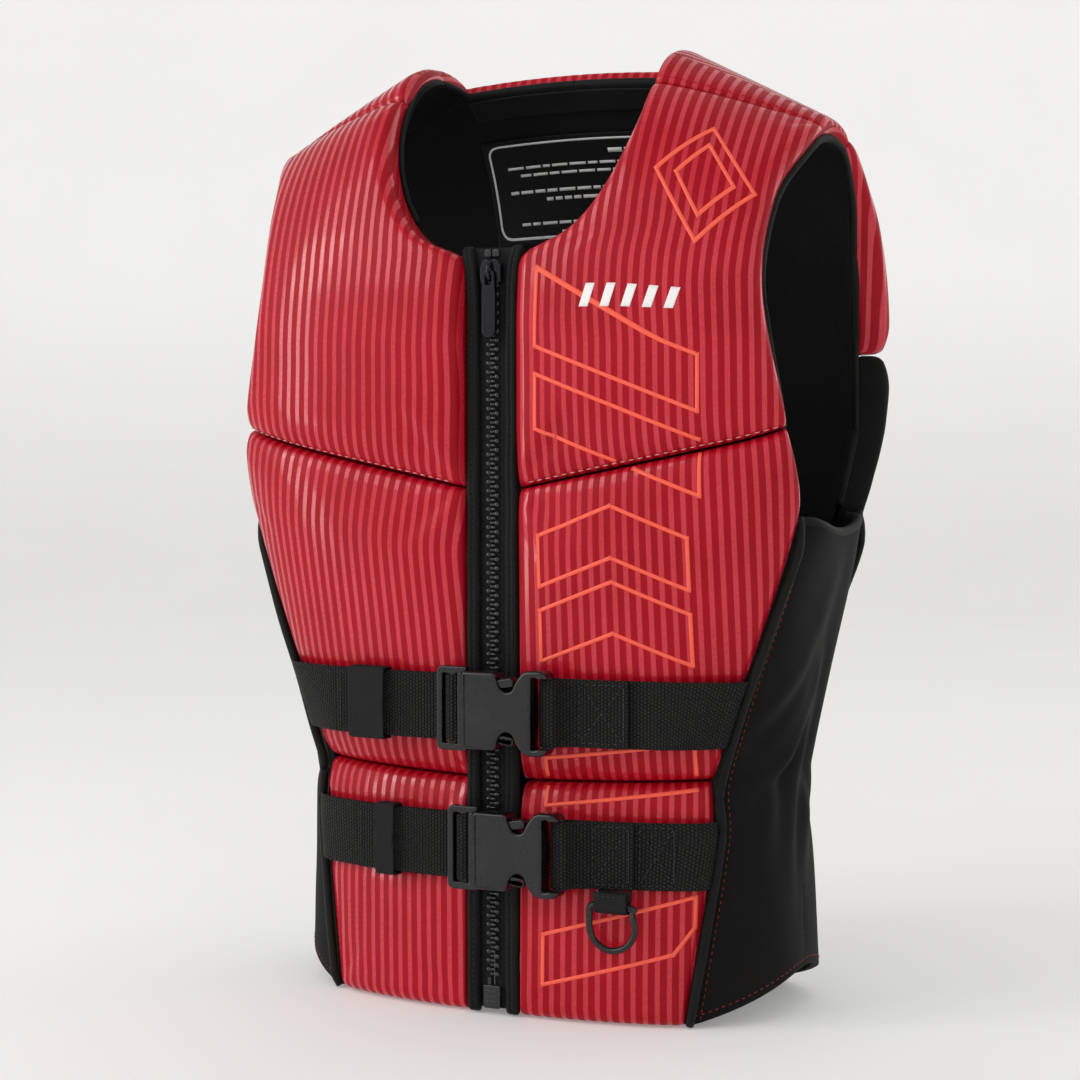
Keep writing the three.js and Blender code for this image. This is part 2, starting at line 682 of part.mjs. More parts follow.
  // Female half: a hollow housing, notched where the finger pads stand, and an end bar.
  const open = frameLength + clearance;
  const wallEnd = open + housingLength;
  const upper = [[open, housingHalf], [wallEnd, housingHalf], [wallEnd, neckHalfHeight + 2],
    [wallEnd + 3, neckHalfHeight], [notchEnd - 4, neckHalfHeight], [notchEnd, half - 5],
    [notchEnd + 3, half], [buckleEnd - 4, half], [buckleEnd, half - 4]];
  const lower = upper.map(([x, z]) => [x, -z]).reverse();
  const outline = [...upper, ...lower].map(([x, z]) => [start + x, middle + z]);
  const webSlot = barAt - slotWidth - 0.6;
  const female = solid(plate(outline, backPlane, housingThickness)).subtract(throughCut(webSlot));
  const insideHalf = housingHalf - rimWall;
  const cavity = solid(block([start + open - 1, start + wallEnd + 3.2],
    [frontPlane + housingWall, backPlane - housingWall], [middle - insideHalf, middle + insideHalf]));
  const tongueWay = solid(block([start + open - 1, start + tongueEnd + 2],
    [frontPlane + housingWall, backPlane - housingWall],
    [middle - tongueHalf - 1, middle + tongueHalf + 1]));
  const barFront = across(webSlot + 1, buckleEnd + 1, frontPlane - 1, over + 0.9);
  const barBack = across(webSlot + 1, buckleEnd + 1, backPlane - 1.4, backPlane + 1);
  add(`${belt.name}_buckle_female`,
    surfaceOf(female.subtract(cavity).subtract(tongueWay).subtract(barFront).subtract(barBack)),
    finishes.buckle);

  // Keeper: an elastic loop round the web and its tail.
  const keeperLow = keeperWall + clearance;
  const keeperHigh = overOffset + webThickness / 2 + keeperSlack;
  const keeperTall = webWidth / 2 + clearance;
  const ring = solid(block([-belt.keeperWidth / 2, belt.keeperWidth / 2],
    [-keeperHigh - keeperWall, -keeperLow + keeperWall],
    [middle - keeperTall - keeperWall, middle + keeperTall + keeperWall]));
  const hole = solid(block([-belt.keeperWidth, belt.keeperWidth], [-keeperHigh, -keeperLow],
    [middle - keeperTall, middle + keeperTall]));
  const loop = surfaceOf(ring.subtract(hole));
  const foot = inside(-1, turnAt(belt.keeperAt, level, false), level, 0);
  const next = inside(-1, turnAt(belt.keeperAt - 1, level, false), level, 0);
  const yaw = Math.atan2(foot.y - next.y, foot.x - next.x);
  loop.rotateZ(yaw).translate(foot.x, foot.y, 0);
  add(`${belt.name}_keeper`, loop, finishes.webbing);
  return { low, lowPlane, tailLow };
}

const placedBelts = belts.map(addBelt);

// ---- D-ring ----------------------------------------------------------------------------------------

const lowerBelt = placedBelts[1];
const ringAxisLevel = lowerBelt.low - 9;
const ringSpot = inside(1, turnAt(ringCentre, ringAxisLevel, false), ringAxisLevel, 0);
const ringAxisDepth = ringSpot.y - ringStandoff;
const ringHalf = ringInside / 2;
const wireHalf = ringWire / 2;

function ringOutline(half, top, drop) {
  const points = [[ringCentre - half, top], [ringCentre - half, top - drop + half]];
  const steps = 8;
  for (let i = 1; i <= steps; i += 1) {
    const angle = Math.PI + (Math.PI * i) / steps;
    points.push([ringCentre + half * Math.cos(angle), top - drop + half + half * Math.sin(angle)]);
  }
  points.push([ringCentre + half, top]);
  return points;
}

const ringOuter = ringOutline(ringHalf + ringWire, ringAxisLevel + wireHalf, ringDrop + ringWire);
const ringInner = ringOutline(ringHalf, ringAxisLevel - wireHalf, ringDrop - ringWire);
add("d_ring", closed(plate(ringOuter, ringAxisDepth + wireHalf, ringWire, [ringInner])),
  finishes.hardware);

// The web loop that holds the ring's straight bar, hanging from the belt's lower edge.
const loopInside = wireHalf * Math.SQRT2 + clearance;
const loopOutside = loopInside + webThickness;
const tab = [];
const arcSteps = 8;
for (let i = 0; i <= arcSteps; i += 1) {
  const angle = Math.PI + (Math.PI * i) / arcSteps;
  tab.push([loopOutside * Math.cos(angle), loopOutside * Math.sin(angle)]);
}
const tabTop = lowerBelt.low - ringAxisLevel - clearance;
tab.push([loopOutside, tabTop], [-loopOutside, tabTop]);
const eye = [];
for (let i = 0; i < 2 * arcSteps; i += 1) {
  const angle = (Math.PI * i) / arcSteps;
  eye.push([loopInside * Math.cos(angle), loopInside * Math.sin(angle)]);
}
const toYZ = plate(tab, 0, loopWidth, [eye]).rotateZ(Math.PI / 2);
toYZ.translate(ringCentre - loopWidth / 2, ringAxisDepth, ringAxisLevel);
add("d_ring_web_loop", closed(toYZ), finishes.webbing);

export default vest;
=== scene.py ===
# Life jacket: striped neoprene covers, black side panels, zip, two belts and a D-ring.
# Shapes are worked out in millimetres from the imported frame's own measures, and put into
# the meshes in metres.
import math

import bmesh
import bpy
import numpy as np
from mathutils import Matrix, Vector


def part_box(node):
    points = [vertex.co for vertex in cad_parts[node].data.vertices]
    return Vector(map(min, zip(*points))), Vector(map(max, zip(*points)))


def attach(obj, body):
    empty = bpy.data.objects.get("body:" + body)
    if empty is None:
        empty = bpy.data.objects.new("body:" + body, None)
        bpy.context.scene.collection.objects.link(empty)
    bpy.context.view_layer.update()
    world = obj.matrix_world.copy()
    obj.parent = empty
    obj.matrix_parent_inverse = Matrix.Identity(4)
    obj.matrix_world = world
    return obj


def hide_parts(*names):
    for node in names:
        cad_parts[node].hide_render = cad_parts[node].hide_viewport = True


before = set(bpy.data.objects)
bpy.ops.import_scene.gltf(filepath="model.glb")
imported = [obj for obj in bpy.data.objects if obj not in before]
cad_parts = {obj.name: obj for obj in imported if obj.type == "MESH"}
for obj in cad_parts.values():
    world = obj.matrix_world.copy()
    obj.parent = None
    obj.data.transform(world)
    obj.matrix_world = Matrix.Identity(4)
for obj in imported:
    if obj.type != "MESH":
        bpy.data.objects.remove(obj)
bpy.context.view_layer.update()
dice = np.random.default_rng(7)
millimetre = 0.001
print("frame loaded")


def nodeBox(name):
    low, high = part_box(name)
    return np.array(low) / millimetre, np.array(high) / millimetre


# A socket of one material, so that sums on a pattern read as sums.
class Wire:
    def __init__(self, recipe, socket):
        self.recipe = recipe
        self.socket = socket

    def sum(self, operation, *others):
        inputs = {i: value for i, value in enumerate((self, *others))}
        return self.recipe.add("ShaderNodeMath", {"operation": operation}, inputs)

    def __add__(self, other):
        return self.sum("ADD", other)

    def __radd__(self, other):
        return self.sum("ADD", other)

    def __sub__(self, other):
        return self.sum("SUBTRACT", other)

    def __rsub__(self, other):
        return self.recipe.add("ShaderNodeMath", {"operation": "SUBTRACT"}, {0: other, 1: self})

    def __mul__(self, other):
        return self.sum("MULTIPLY", other)

    def __rmul__(self, other):
        return self.sum("MULTIPLY", other)

    def __truediv__(self, other):
        return self.sum("DIVIDE", other)

    def __pow__(self, other):
        return self.sum("POWER", other)

    def fraction(self):
        return self.sum("FRACT")

    def floor(self):
        return self.sum("FLOOR")

    def size(self):
        return self.sum("ABSOLUTE")

    # 0 below low, 1 above high, smooth between.
    def ramp(self, low, high):
        settings = {"interpolation_type": "SMOOTHSTEP"}
        inputs = {"Value": self, "From Min": low, "From Max": high, "To Min": 0.0, "To Max": 1.0}
        return self.recipe.add("ShaderNodeMapRange", settings, inputs)


# One material while it is being made.
class Recipe:
    def __init__(self, name):
        self.material = bpy.data.materials.new(name)
        self.material.use_nodes = True
        self.tree = self.material.node_tree
        self.tree.nodes.clear()

    # Any node: its type, its settings, then the values or links of its sockets.
    def add(self, kind, settings=None, inputs=None, output=0):
        node = self.tree.nodes.new(kind)
        for name, value in (settings or {}).items():
            setattr(node, name, value)
        for name, value in (inputs or {}).items():
            socket = node.inputs[name]
            if isinstance(value, Wire):
                self.tree.links.new(value.socket, socket)
            else:
                socket.default_value = value
        return Wire(self, node.outputs[output]) if node.outputs else node

    def mix(self, share, first, second):
        settings = {"data_type": "RGBA"}
        return self.add("ShaderNodeMix", settings, {0: share, 6: first, 7: second}, output=2)

    def uv(self):
        coordinates = self.add("ShaderNodeTexCoord", output=2)
        first = self.add("ShaderNodeSeparateXYZ", inputs={0: coordinates})
        return first, Wire(self, first.socket.node.outputs[1])

    def place(self):
        return self.add("ShaderNodeTexCoord", output=3)

    def noise(self, vector, scale, detail=2.0, roughness=0.5):
        inputs = {"Vector": vector, "Scale": scale, "Detail": detail, "Roughness": roughness}
        return self.add("ShaderNodeTexNoise", {}, inputs)

    def bump(self, height, distance, strength=1.0):
        inputs = {"Height": height, "Distance": distance, "Strength": strength}
        return self.add("ShaderNodeBump", {}, inputs)

    def finish(self, inputs):
        shader = self.add("ShaderNodeBsdfPrincipled", {}, inputs)
        self.add("ShaderNodeOutputMaterial", {}, {"Surface": shader})
        return self.material


def colour(red, green, blue):
    share = np.array([red, green, blue]) / 255
    linear = np.where(share <= 0.04045, share / 12.92, ((share + 0.055) / 1.055) ** 2.4)
    return (*map(float, linear), 1.0)


stripes = {
    "period": 0.0072,
    "lightShare": 0.42,
    "darkColour": colour(154, 0, 20),
    "lightColour": colour(192, 27, 43),
    "ribHeight": 0.00022,
    "darkRoughness": 0.44,
    "lightRoughness": 0.27,
}


# Stripes along the panel: a rib wherever the share across one period is under lightShare.
def stripedNeoprene():
    r = Recipe("striped_neoprene")
    across = r.uv()[0]
    share = ((across / stripes["period"]).fraction() - 0.5).size()
    rib = 1 - share.ramp(stripes["lightShare"] / 2 - 0.035, stripes["lightShare"] / 2 + 0.035)
    patches = r.noise(r.place(), 26.0, 3.0)
    knit = r.noise(r.place(), 2600.0, 1.0)
    flecks = r.noise(r.place(), 420.0, 2.0)
    shade = patches.ramp(0.3, 0.75)
    dark = r.mix(shade, colour(164, 3, 27), stripes["darkColour"])
    light = r.mix(shade, colour(202, 38, 54), stripes["lightColour"])
    base = r.mix(rib, dark, light)
    base = r.mix(flecks.ramp(0.6, 0.9) * 0.1, base, colour(90, 0, 14))
    rough = stripes["darkRoughness"] + (stripes["lightRoughness"] - stripes["darkRoughness"]) * rib
    rough = rough + (flecks - 0.5) * 0.12
    height = rib * stripes["ribHeight"] + knit * (1 - rib * 0.7) * 0.00009
    return r.finish({
        "Base Color": base, "Roughness": rough, "Coat Weight": rib * 0.7, "Coat Roughness": 0.11,
        "Normal": r.bump(height, 1.0), "Specular IOR Level": 0.16,
    })


# Fine jersey over foam: a small random grain, a little paler where it has been rubbed.
def blackCloth(name, base, paler, grain, roughness, sheen):
    r = Recipe(name)
    knit = r.noise(r.place(), 1 / grain, 2.0)
    patches = r.noise(r.place(), 17.0, 4.0)
    lint = r.noise(r.place(), 900.0, 2.0)
    cloth = r.mix(patches.ramp(0.35, 0.8), base, paler)
    cloth = r.mix(lint.ramp(0.66, 0.82) * 0.25, cloth, colour(70, 66, 62))
    return r.finish({
        "Base Color": cloth, "Roughness": roughness + (patches - 0.5) * 0.16,
        "Normal": r.bump(knit, 0.00022), "Sheen Weight": sheen, "Sheen Roughness": 0.45,
        "Specular IOR Level": 0.16,
    })


# Webbing: a cell of one rib by one pick, every second rib moved by half a pick. Its colour holds painted
# light: a painted highlight on the weave's tops and painted shade in its hollows.
def wovenWeb(name, rib, pick, base, paler, depth):
    r = Recipe(name)
    along, across = r.uv()
    column = along / rib
    slant = (across / pick) + column.floor() * 0.5
    barrel = ((column.fraction() - 0.5) * math.pi).sum("COSINE")
    bead = ((slant.fraction() - 0.5) * math.pi).sum("COSINE")
    height = (barrel ** 0.6) * (0.35 + 0.65 * bead)
    fuzz = r.noise(r.place(), 1500.0, 2.0)
    # Painted light: paler where the weave stands high, as a painted highlight, and the web's own black
    # deepened in the hollows, as painted shade.
    shade = r.mix(height ** 1.7, base, paler)
    shade = r.mix(fuzz.ramp(0.62, 0.85) * 0.3, shade, colour(84, 84, 86))
    return r.finish({
        "Base Color": shade, "Roughness": 0.78 - height * 0.26,
        "Normal": r.bump(height + fuzz * 0.15, depth), "Specular IOR Level": 0.2,
    })


# Moulded plastic or enamelled metal: a fine spark-eroded grain, with smoother rubbed places.
def moulded(name, base, roughness, grain, metallic=0.0):
    r = Recipe(name)
    grit = r.noise(r.place(), 2400.0, 2.0)
    rubbed = r.noise(r.place(), 60.0, 3.0)
    scratch = r.noise(r.place(), 300.0, 5.0, 0.7)
    shade = r.mix(rubbed.ramp(0.4, 0.8) * 0.4, base, colour(34, 34, 36))
    rough = roughness + (rubbed - 0.5) * 0.2 + (scratch - 0.5) * 0.1
    return r.finish({
        "Base Color": shade, "Roughness": rough, "Normal": r.bump(grit, grain),
        "Metallic": metallic,
    })


# Ink or thread in one colour, broken a little by the cloth under it.
def ink(name, base, worn, roughness=0.5):
    r = Recipe(name)
    specks = r.noise(r.place(), 1300.0, 2.0)
    shade = r.mix(specks.ramp(0.5, 0.85) * 0.5, base, worn)
    return r.finish({
        "Base Color": shade, "Roughness": roughness, "Normal": r.bump(specks, 0.00004),
    })


finishes = {
    "striped": stripedNeoprene(),
    "neoprene": blackCloth("black_neoprene", colour(7, 7, 7), colour(15, 13, 12), 0.0006, 0.74, 0.01),
    "piping": blackCloth("edge_neoprene", colour(13, 13, 13), colour(24, 24, 23), 0.0005, 0.6, 0.03),
    "lining": blackCloth("lining_cloth", colour(9, 9, 9), colour(17, 17, 18), 0.0004, 0.7, 0.02),
    # For each web the first colour, near black, is its own black deepened as painted shade in the weave's
    # hollows; the second is a painted highlight on the weave's tops.
    "webbing": wovenWeb("webbing", 0.0021, 0.0022, colour(2, 2, 2), colour(42, 41, 40), 0.0014),
    "elastic": wovenWeb("elastic_web", 0.0009, 0.0011, colour(9, 9, 10), colour(34, 34, 36), 0.0003),
    "tape": wovenWeb("zip_tape_cloth", 0.0007, 0.0009, colour(9, 9, 11), colour(30, 30, 34), 0.00022),
    "teeth": moulded("zip_teeth", colour(34, 34, 38), 0.15, 0.00001),
    "metal": moulded("enamelled_metal", colour(40, 40, 44), 0.2, 0.000006, 0.75),
    "buckle": moulded("buckle_plastic", colour(5, 5, 6), 0.27, 0.00002),
    "print": ink("coral_print", colour(252, 92, 66), colour(226, 64, 52)),
    "whitePrint": ink("white_print", colour(244, 240, 238), colour(214, 200, 198)),
    "labelInk": ink("label_ink", colour(232, 232, 230), colour(176, 176, 176), 0.6),
    "labelCloth": blackCloth("label_satin", colour(9, 9, 10), colour(16, 16, 18), 0.0003, 0.42, 0.04),
    "paleThread": ink("pale_thread", colour(222, 172, 168), colour(188, 128, 126)),
    "redThread": ink("red_thread", colour(172, 22, 28), colour(120, 12, 18)),
    "blackThread": ink("black_thread", colour(40, 40, 41), colour(62, 62, 64), 0.5),
}
print("materials made")


form = {
    "levels": [0, 145, 350, 400],
    "halfWidth": [172, 166, 208, 208],
    "front": [94, 90, 104, 104],
    "back": [92, 86, 110, 113],
    "frontSquare": [2.4, 2.6, 4.0, 4.0],
    "backSquare": [3.2, 3.0, 3.4, 3.2],
    "arch": 400,
    "crest": 600,
    "neckRidge": 583,
    "shoulderDrop": 50,
    "neckHalf": 86,
    "shoulderHalf": 184,
    "collarLift": 5,
    "neckRun": 438,
    "backNeckHalf": 78,
    "backNeck": 562,
    "zipGap": 17.4,
    "thick": 26,
    "thin": 16,
    "thinFrom": 460,
    "lining": 1.6,
}
frontEdge = np.array([[0, 120], [110, 136], [145, 136], [300, 188], [345, 187],
                      [430, 170], [490, 172], [540, 181], [600, 184]], float)
backEdge = np.array([[0, 120], [145, 128], [290, 184], [345, 199], [400, 204],
                     [470, 200], [530, 191], [600, 184]], float)
backEnd = 2 * form["crest"]


def mix(a, b, share):
    return a + (b - a) * share


# A smooth curve through points: a cubic on each span, with the slope of its neighbours' chord.
def through(points, at):
    at = np.asarray(at, float)
    place, value = points[:, 0], points[:, 1]
    chord = np.empty(len(place))
    chord[1:-1] = (value[2:] - value[:-2]) / (place[2:] - place[:-2])
    chord[0] = (value[1] - value[0]) / (place[1] - place[0])
    chord[-1] = (value[-1] - value[-2]) / (place[-1] - place[-2])
    i = np.clip(np.searchsorted(place, at, side="left") - 1, 0, len(place) - 2)
    span = place[i + 1] - place[i]
    t = np.clip((at - place[i]) / span, 0, 1)
    rise, fall = chord[i] * span, chord[i + 1] * span
    a = 2 * value[i] - 2 * value[i + 1] + rise + fall
    b = -3 * value[i] + 3 * value[i + 1] - 2 * rise - fall
    return ((a * t + b) * t + rise) * t + value[i]


def girth(name, level):
    return np.interp(level, form["levels"], form[name])


def squareness(level, isBack):
    return np.where(isBack, girth("backSquare", level), girth("frontSquare", level))


# The girth is a superellipse: turn goes from 0 at the front middle to pi at the back middle.
def girthPoint(turn, level):
    isBack = turn > math.pi / 2
    square = squareness(level, isBack)
    depth = np.where(isBack, girth("back", level), girth("front", level))
    s, c = np.sin(turn), np.cos(turn)
    reach = (np.abs(s) ** square + np.abs(c) ** square) ** (-1 / square)
    return girth("halfWidth", level) * reach * s, -depth * reach * c


def turnAt(x, level, isBack):
    square = squareness(level, isBack)
    share = np.clip(np.abs(x) / girth("halfWidth", level), 1e-4, 0.9999)
    turn = np.arctan2(1, (share ** -square - 1) ** (1 / square))
    return np.where(isBack, math.pi - turn, turn)


def ridgeAt(x):
    t = (x - form["neckHalf"]) / (form["shoulderHalf"] - form["neckHalf"])
    lift = form["collarLift"] * (1 - (x / form["neckHalf"]) ** 2)
    return form["neckRidge"] + np.where(t > 0, -form["shoulderDrop"] * t, lift)


# Above the arch level the girth leans back, a quarter turn by the crest.
def surface(turn, run):
    x, y = girthPoint(turn, np.minimum(run, form["arch"]))
    lean = np.clip((run - form["arch"]) / (form["crest"] - form["arch"]), 0, 1) * math.pi / 2
    rise = ridgeAt(x) - form["arch"]
    z = np.where(run <= form["arch"], run, form["arch"] + rise * np.sin(lean))
    return np.stack([x, y * np.cos(lean), z], -1)


# A point x across and path up the front, over the crest and down the back, with its outward
# direction. The point lies depth inside the surface.
def place(x, path, depth=0.0, isBack=None, normals=False):
    x, path = np.broadcast_arrays(np.asarray(x, float), np.asarray(path, float))
    behind = path > form["crest"] if isBack is None else np.full(x.shape, isBack)
    run = np.where(path > form["crest"], backEnd - path, path)
    run = np.minimum(run, form["crest"] - 0.01)
    turn = turnAt(x, np.minimum(run, form["arch"]), behind)
    return inside(np.where(x < 0, -1.0, 1.0), turn, run, depth, normals)


def inside(side, turn, run, depth=0.0, normals=False):
    step = 0.002
    here = surface(turn, run)
    around = surface(turn + step, run) - surface(turn - step, run)
    up = surface(turn, run + step) - surface(turn, run - step)
    up[run <= form["arch"]] = (0, 0, 1)
    outward = unit(np.cross(around, up))
    here = here - outward * np.asarray(depth, float)[..., None]
    here[..., 0] *= side
    outward[..., 0] *= side
    return (here, outward) if normals else here


def innerEdge(path):
    path = np.asarray(path, float)
    t = np.clip((path - form["neckRun"]) / (form["crest"] - form["neckRun"]), 0, 1)
    front = mix(form["zipGap"], form["neckHalf"], np.sqrt(1 - (1 - t) ** 4))
    beyond = (path - form["crest"]) / (form["crest"] - form["backNeck"])
    return np.where(path > form["crest"], mix(form["neckHalf"], form["backNeckHalf"], beyond), front)


def outerEdge(path):
    path = np.asarray(path, float)
    front = through(frontEdge, np.minimum(path, form["crest"]))
    back = through(backEdge, np.clip(backEnd - path, 0, form["crest"]))
    return np.where(path > form["crest"], back, front)


def thickness(path):
    run = np.where(path > form["crest"], backEnd - path, path)
    t = np.clip((run - form["thinFrom"]) / (form["backNeck"] - form["thinFrom"]), 0, 1)
    return mix(form["thick"], form["thin"], t)


def makeObject(name, mesh, material):
    piece = bpy.data.objects.new(name, mesh)
    bpy.context.scene.collection.objects.link(piece)
    mesh.materials.append(material)
    return piece


# A mesh from points in millimetres and faces; uv is one pair for each corner of each face.
def meshFrom(name, points, faces, material, uv=None, smooth=True):
    mesh = bpy.data.meshes.new(name)
    faces = [np.asarray(f) for f in faces]
    mesh.from_pydata((np.asarray(points, float) * millimetre).tolist(), [],
                     [row for f in faces for row in f.tolist()])
    if uv is not None:
        layer = mesh.uv_layers.new(name="UVMap")
        layer.data.foreach_set("uv", (np.asarray(uv, float) * millimetre).ravel())
    mesh.polygons.foreach_set("use_smooth", np.full(len(mesh.polygons), smooth))
    mesh.update()
    return makeObject(name, mesh, material)


def unit(vectors):
    return vectors / np.linalg.norm(vectors, axis=-1, keepdims=True)


# Distance along the rows or the columns of a grid of points, or along one line of them.
def arcs(points, axis=0):
    steps = np.linalg.norm(np.diff(points, axis=axis), axis=-1)
    first = np.zeros_like(np.take(steps, [0], axis))
    return np.concatenate([first, np.cumsum(steps, axis)], axis)


# The quads of a grid of rows by columns, whose first vertex is start. Wrap joins the last
# column to the first, and closed the last row to the first.
def quads(rows, columns, start=0, wrap=False, flip=False, closed=False):
    index = np.arange(rows * columns).reshape(rows, columns) + start
    if closed:
        index = np.concatenate([index, index[:1]])
    if wrap:
        index = np.concatenate([index, index[:, :1]], 1)
    corners = [index[:-1, :-1], index[:-1, 1:], index[1:, 1:], index[1:, :-1]]
    if flip:
        corners.reverse()
    return np.stack([c.ravel() for c in corners], 1)


# The two end faces of a tube of rows by sides.
def endCaps(rows, sides):
    first = np.arange(sides)
    return np.stack([first[::-1], first + (rows - 1) * sides])


# The outline of a grid, as indices: along the low row, up the right, back along the top, down.
def rim(rows, columns, start=0):
    index = np.arange(rows * columns).reshape(rows, columns) + start
    return np.concatenate([index[0, :-1], index[:-1, -1], index[-1, :0:-1], index[:0:-1, 0]])


# A closed body from an outer and an inner grid of the same shape, with walls between their
# rims. Walls is how many rows of faces they have, and flip is for grids whose columns run
# clockwise as seen from outside.
def bodyFrom(name, outer, inner, material, uv=None, walls=1, flip=False, cut=None):
    rows, columns = outer.shape[:2]
    count = rows * columns
    points = [outer.reshape(-1, 3), inner.reshape(-1, 3)]
    loop = rim(rows, columns)
    rings = [loop]
    start = 2 * count
    for k in range(1, walls):
        share = k / walls
        points.append(mix(points[0][loop], points[1][loop], share))
        rings.append(np.arange(len(loop)) + start)
        start += len(loop)
    rings.append(loop + count)
    faces = [quads(rows, columns, 0, flip=flip), quads(rows, columns, count, flip=not flip)]
    for a, b in zip(rings[:-1], rings[1:]):
        strip = np.stack([np.roll(a, -1), a, b, np.roll(b, -1)], 1)
        faces.append(strip[:, ::-1] if flip else strip)
    allPoints = np.concatenate(points)
    flat = None
    if uv is not None:
        sheet = uv.reshape(-1, 2)
        down = np.linalg.norm(points[0][loop] - points[1][loop], axis=1)[:, None]
        outwards = rimDirections(rows, columns)
        perVertex = [sheet, sheet]
        for k in range(1, walls):
            perVertex.append(sheet[loop] + outwards * down * (k / walls))
        perVertex = np.concatenate(perVertex)
        corners = [perVertex[f] for f in faces]
        if cut is not None:  # rows past the cut have their own flat pattern
            row, other = cut
            past = np.repeat(np.arange(rows - 1) >= row, columns - 1)
            corners[0][past] = other.reshape(-1, 2)[faces[0][past]]
        a, b = perVertex[rings[-2]], sheet[loop] + outwards * down
        strip = np.stack([np.roll(a, -1, 0), a, b, np.roll(b, -1, 0)], 1)
        corners[-1] = strip[:, ::-1] if flip else strip
        flat = np.concatenate([c.reshape(-1, 2) for c in corners])
    return meshFrom(name, allPoints, faces, material, flat)


def rimDirections(rows, columns):
    down = np.tile([0.0, -1.0], (columns - 1, 1))
    right = np.tile([1.0, 0.0], (rows - 1, 1))
    return np.concatenate([down, right, -down, -right])


def readPoints(mesh):
    points = np.empty(len(mesh.vertices) * 3)
    mesh.vertices.foreach_get("co", points)
    return points.reshape(-1, 3) / millimetre


def writePoints(mesh, points):
    mesh.vertices.foreach_set("co", (points * millimetre).ravel())
    mesh.update()


def addModifier(piece, kind, **settings):
    modifier = piece.modifiers.new(kind.title(), kind)
    for name, value in settings.items():
        setattr(modifier, name, value)
    return modifier


# A tube round a path: at each point a circle, or a flatter oval, across the path's direction.
def tube(name, path, radius, material, sides=10, closed=False, up=(0, 0, 1), squash=1.0):
    path = np.asarray(path, float)
    before = np.roll(path, 1, 0) if closed else np.concatenate([path[:1], path[:-1]])
    after = np.roll(path, -1, 0) if closed else np.concatenate([path[1:], path[-1:]])
    along = unit(after - before)
    first = unit(np.cross(along, np.asarray(up, float)))
    second = np.cross(first, along)
    angle = np.linspace(0, 2 * math.pi, sides, endpoint=False)
    size = np.broadcast_to(np.asarray(radius, float), len(path))[:, None, None]
    ring = (np.cos(angle)[None, :, None] * first[:, None] +
            squash * np.sin(angle)[None, :, None] * second[:, None]) * size
    points = path[:, None] + ring
    rows = len(path)
    faces = [quads(rows, sides, wrap=True, closed=closed)]
    if not closed:
        faces.append(endCaps(rows, sides))
    piece = meshFrom(name, points.reshape(-1, 3), faces, material)
    tidyNormals(piece)
    return piece


def tidyNormals(piece):
    work = bmesh.new()
    work.from_mesh(piece.data)
    bmesh.ops.remove_doubles(work, verts=work.verts, dist=1e-6)
    bmesh.ops.recalc_face_normals(work, faces=work.faces)
    work.to_mesh(piece.data)
    work.free()
    piece.data.update()


def join(name, pieces):
    first = pieces[0]
    with bpy.context.temp_override(active_object=first, selected_editable_objects=pieces):
        bpy.ops.object.join()
    first.name = name
    first.data.name = name
    return first


# An outline in x and z with the radius of each corner, as [x, z, radius], made round.
def roundOutline(corners, steps=5):
    corners = np.asarray(corners, float)
    out = []
    for i in range(len(corners)):
        here = corners[i, :2]
        back = corners[i - 1, :2] - here
        ahead = corners[(i + 1) % len(corners), :2] - here
        lengths = np.linalg.norm(back), np.linalg.norm(ahead)
        reach = min(corners[i, 2], 0.48 * lengths[0], 0.48 * lengths[1])
        if reach < 1e-3:
            out.append(here[None])
            continue
        a, b = here + back / lengths[0] * reach, here + ahead / lengths[1] * reach
        t = np.linspace(0, 1, steps)[:, None]
        out.append((1 - t) ** 2 * a + 2 * t * (1 - t) * here + t ** 2 * b)
    return np.concatenate(out)


# A plate with rounded edges: outlines in x and z, the first solid and the others holes,
# from the plane y = back to y = front, which is nearer the viewer.
def plate(name, outlines, back, front, bevel, material):
    curve = bpy.data.curves.new(name, "CURVE")
    curve.dimensions = "2D"
    curve.fill_mode = "BOTH"
    curve.bevel_depth = bevel * millimetre
    curve.bevel_resolution = 3
    curve.offset = -bevel * millimetre
    curve.extrude = (abs(back - front) / 2 - bevel) * millimetre
    for outline in outlines:
        spline = curve.splines.new("POLY")
        spline.points.add(len(outline) - 1)
        flat = np.zeros((len(outline), 4))
        flat[:, :2] = np.asarray(outline) * millimetre
        flat[:, 3] = 1
        spline.points.foreach_set("co", flat.ravel())
        spline.use_cyclic_u = True
    shape = bpy.data.objects.new(name, curve)
    bpy.context.scene.collection.objects.link(shape)
    bpy.context.view_layer.update()
    mesh = bpy.data.meshes.new_from_object(shape.evaluated_get(bpy.context.evaluated_depsgraph_get()))
    bpy.data.objects.remove(shape)
    points = readPoints(mesh)
    middle = (back + front) / 2
    writePoints(mesh, np.stack([points[:, 0], middle - points[:, 2], points[:, 1]], 1))
    mesh.materials.clear()
    mesh.name = name
    piece = makeObject(name, mesh, material)
    tidyNormals(piece)
    return piece


def block(name, low, high, material):
    corners = [(low[0], low[2]), (high[0], low[2]), (high[0], high[2]), (low[0], high[2])]
    points = [[x, y, z] for y in (low[1], high[1]) for x, z in corners]
    faces = [[0, 1, 2, 3], [7, 6, 5, 4], [0, 4, 5, 1], [1, 5, 6, 2], [2, 6, 7, 3], [3, 7, 4, 0]]
    piece = meshFrom(name, points, [np.array(faces)], material, smooth=False)
    tidyNormals(piece)
    return piece


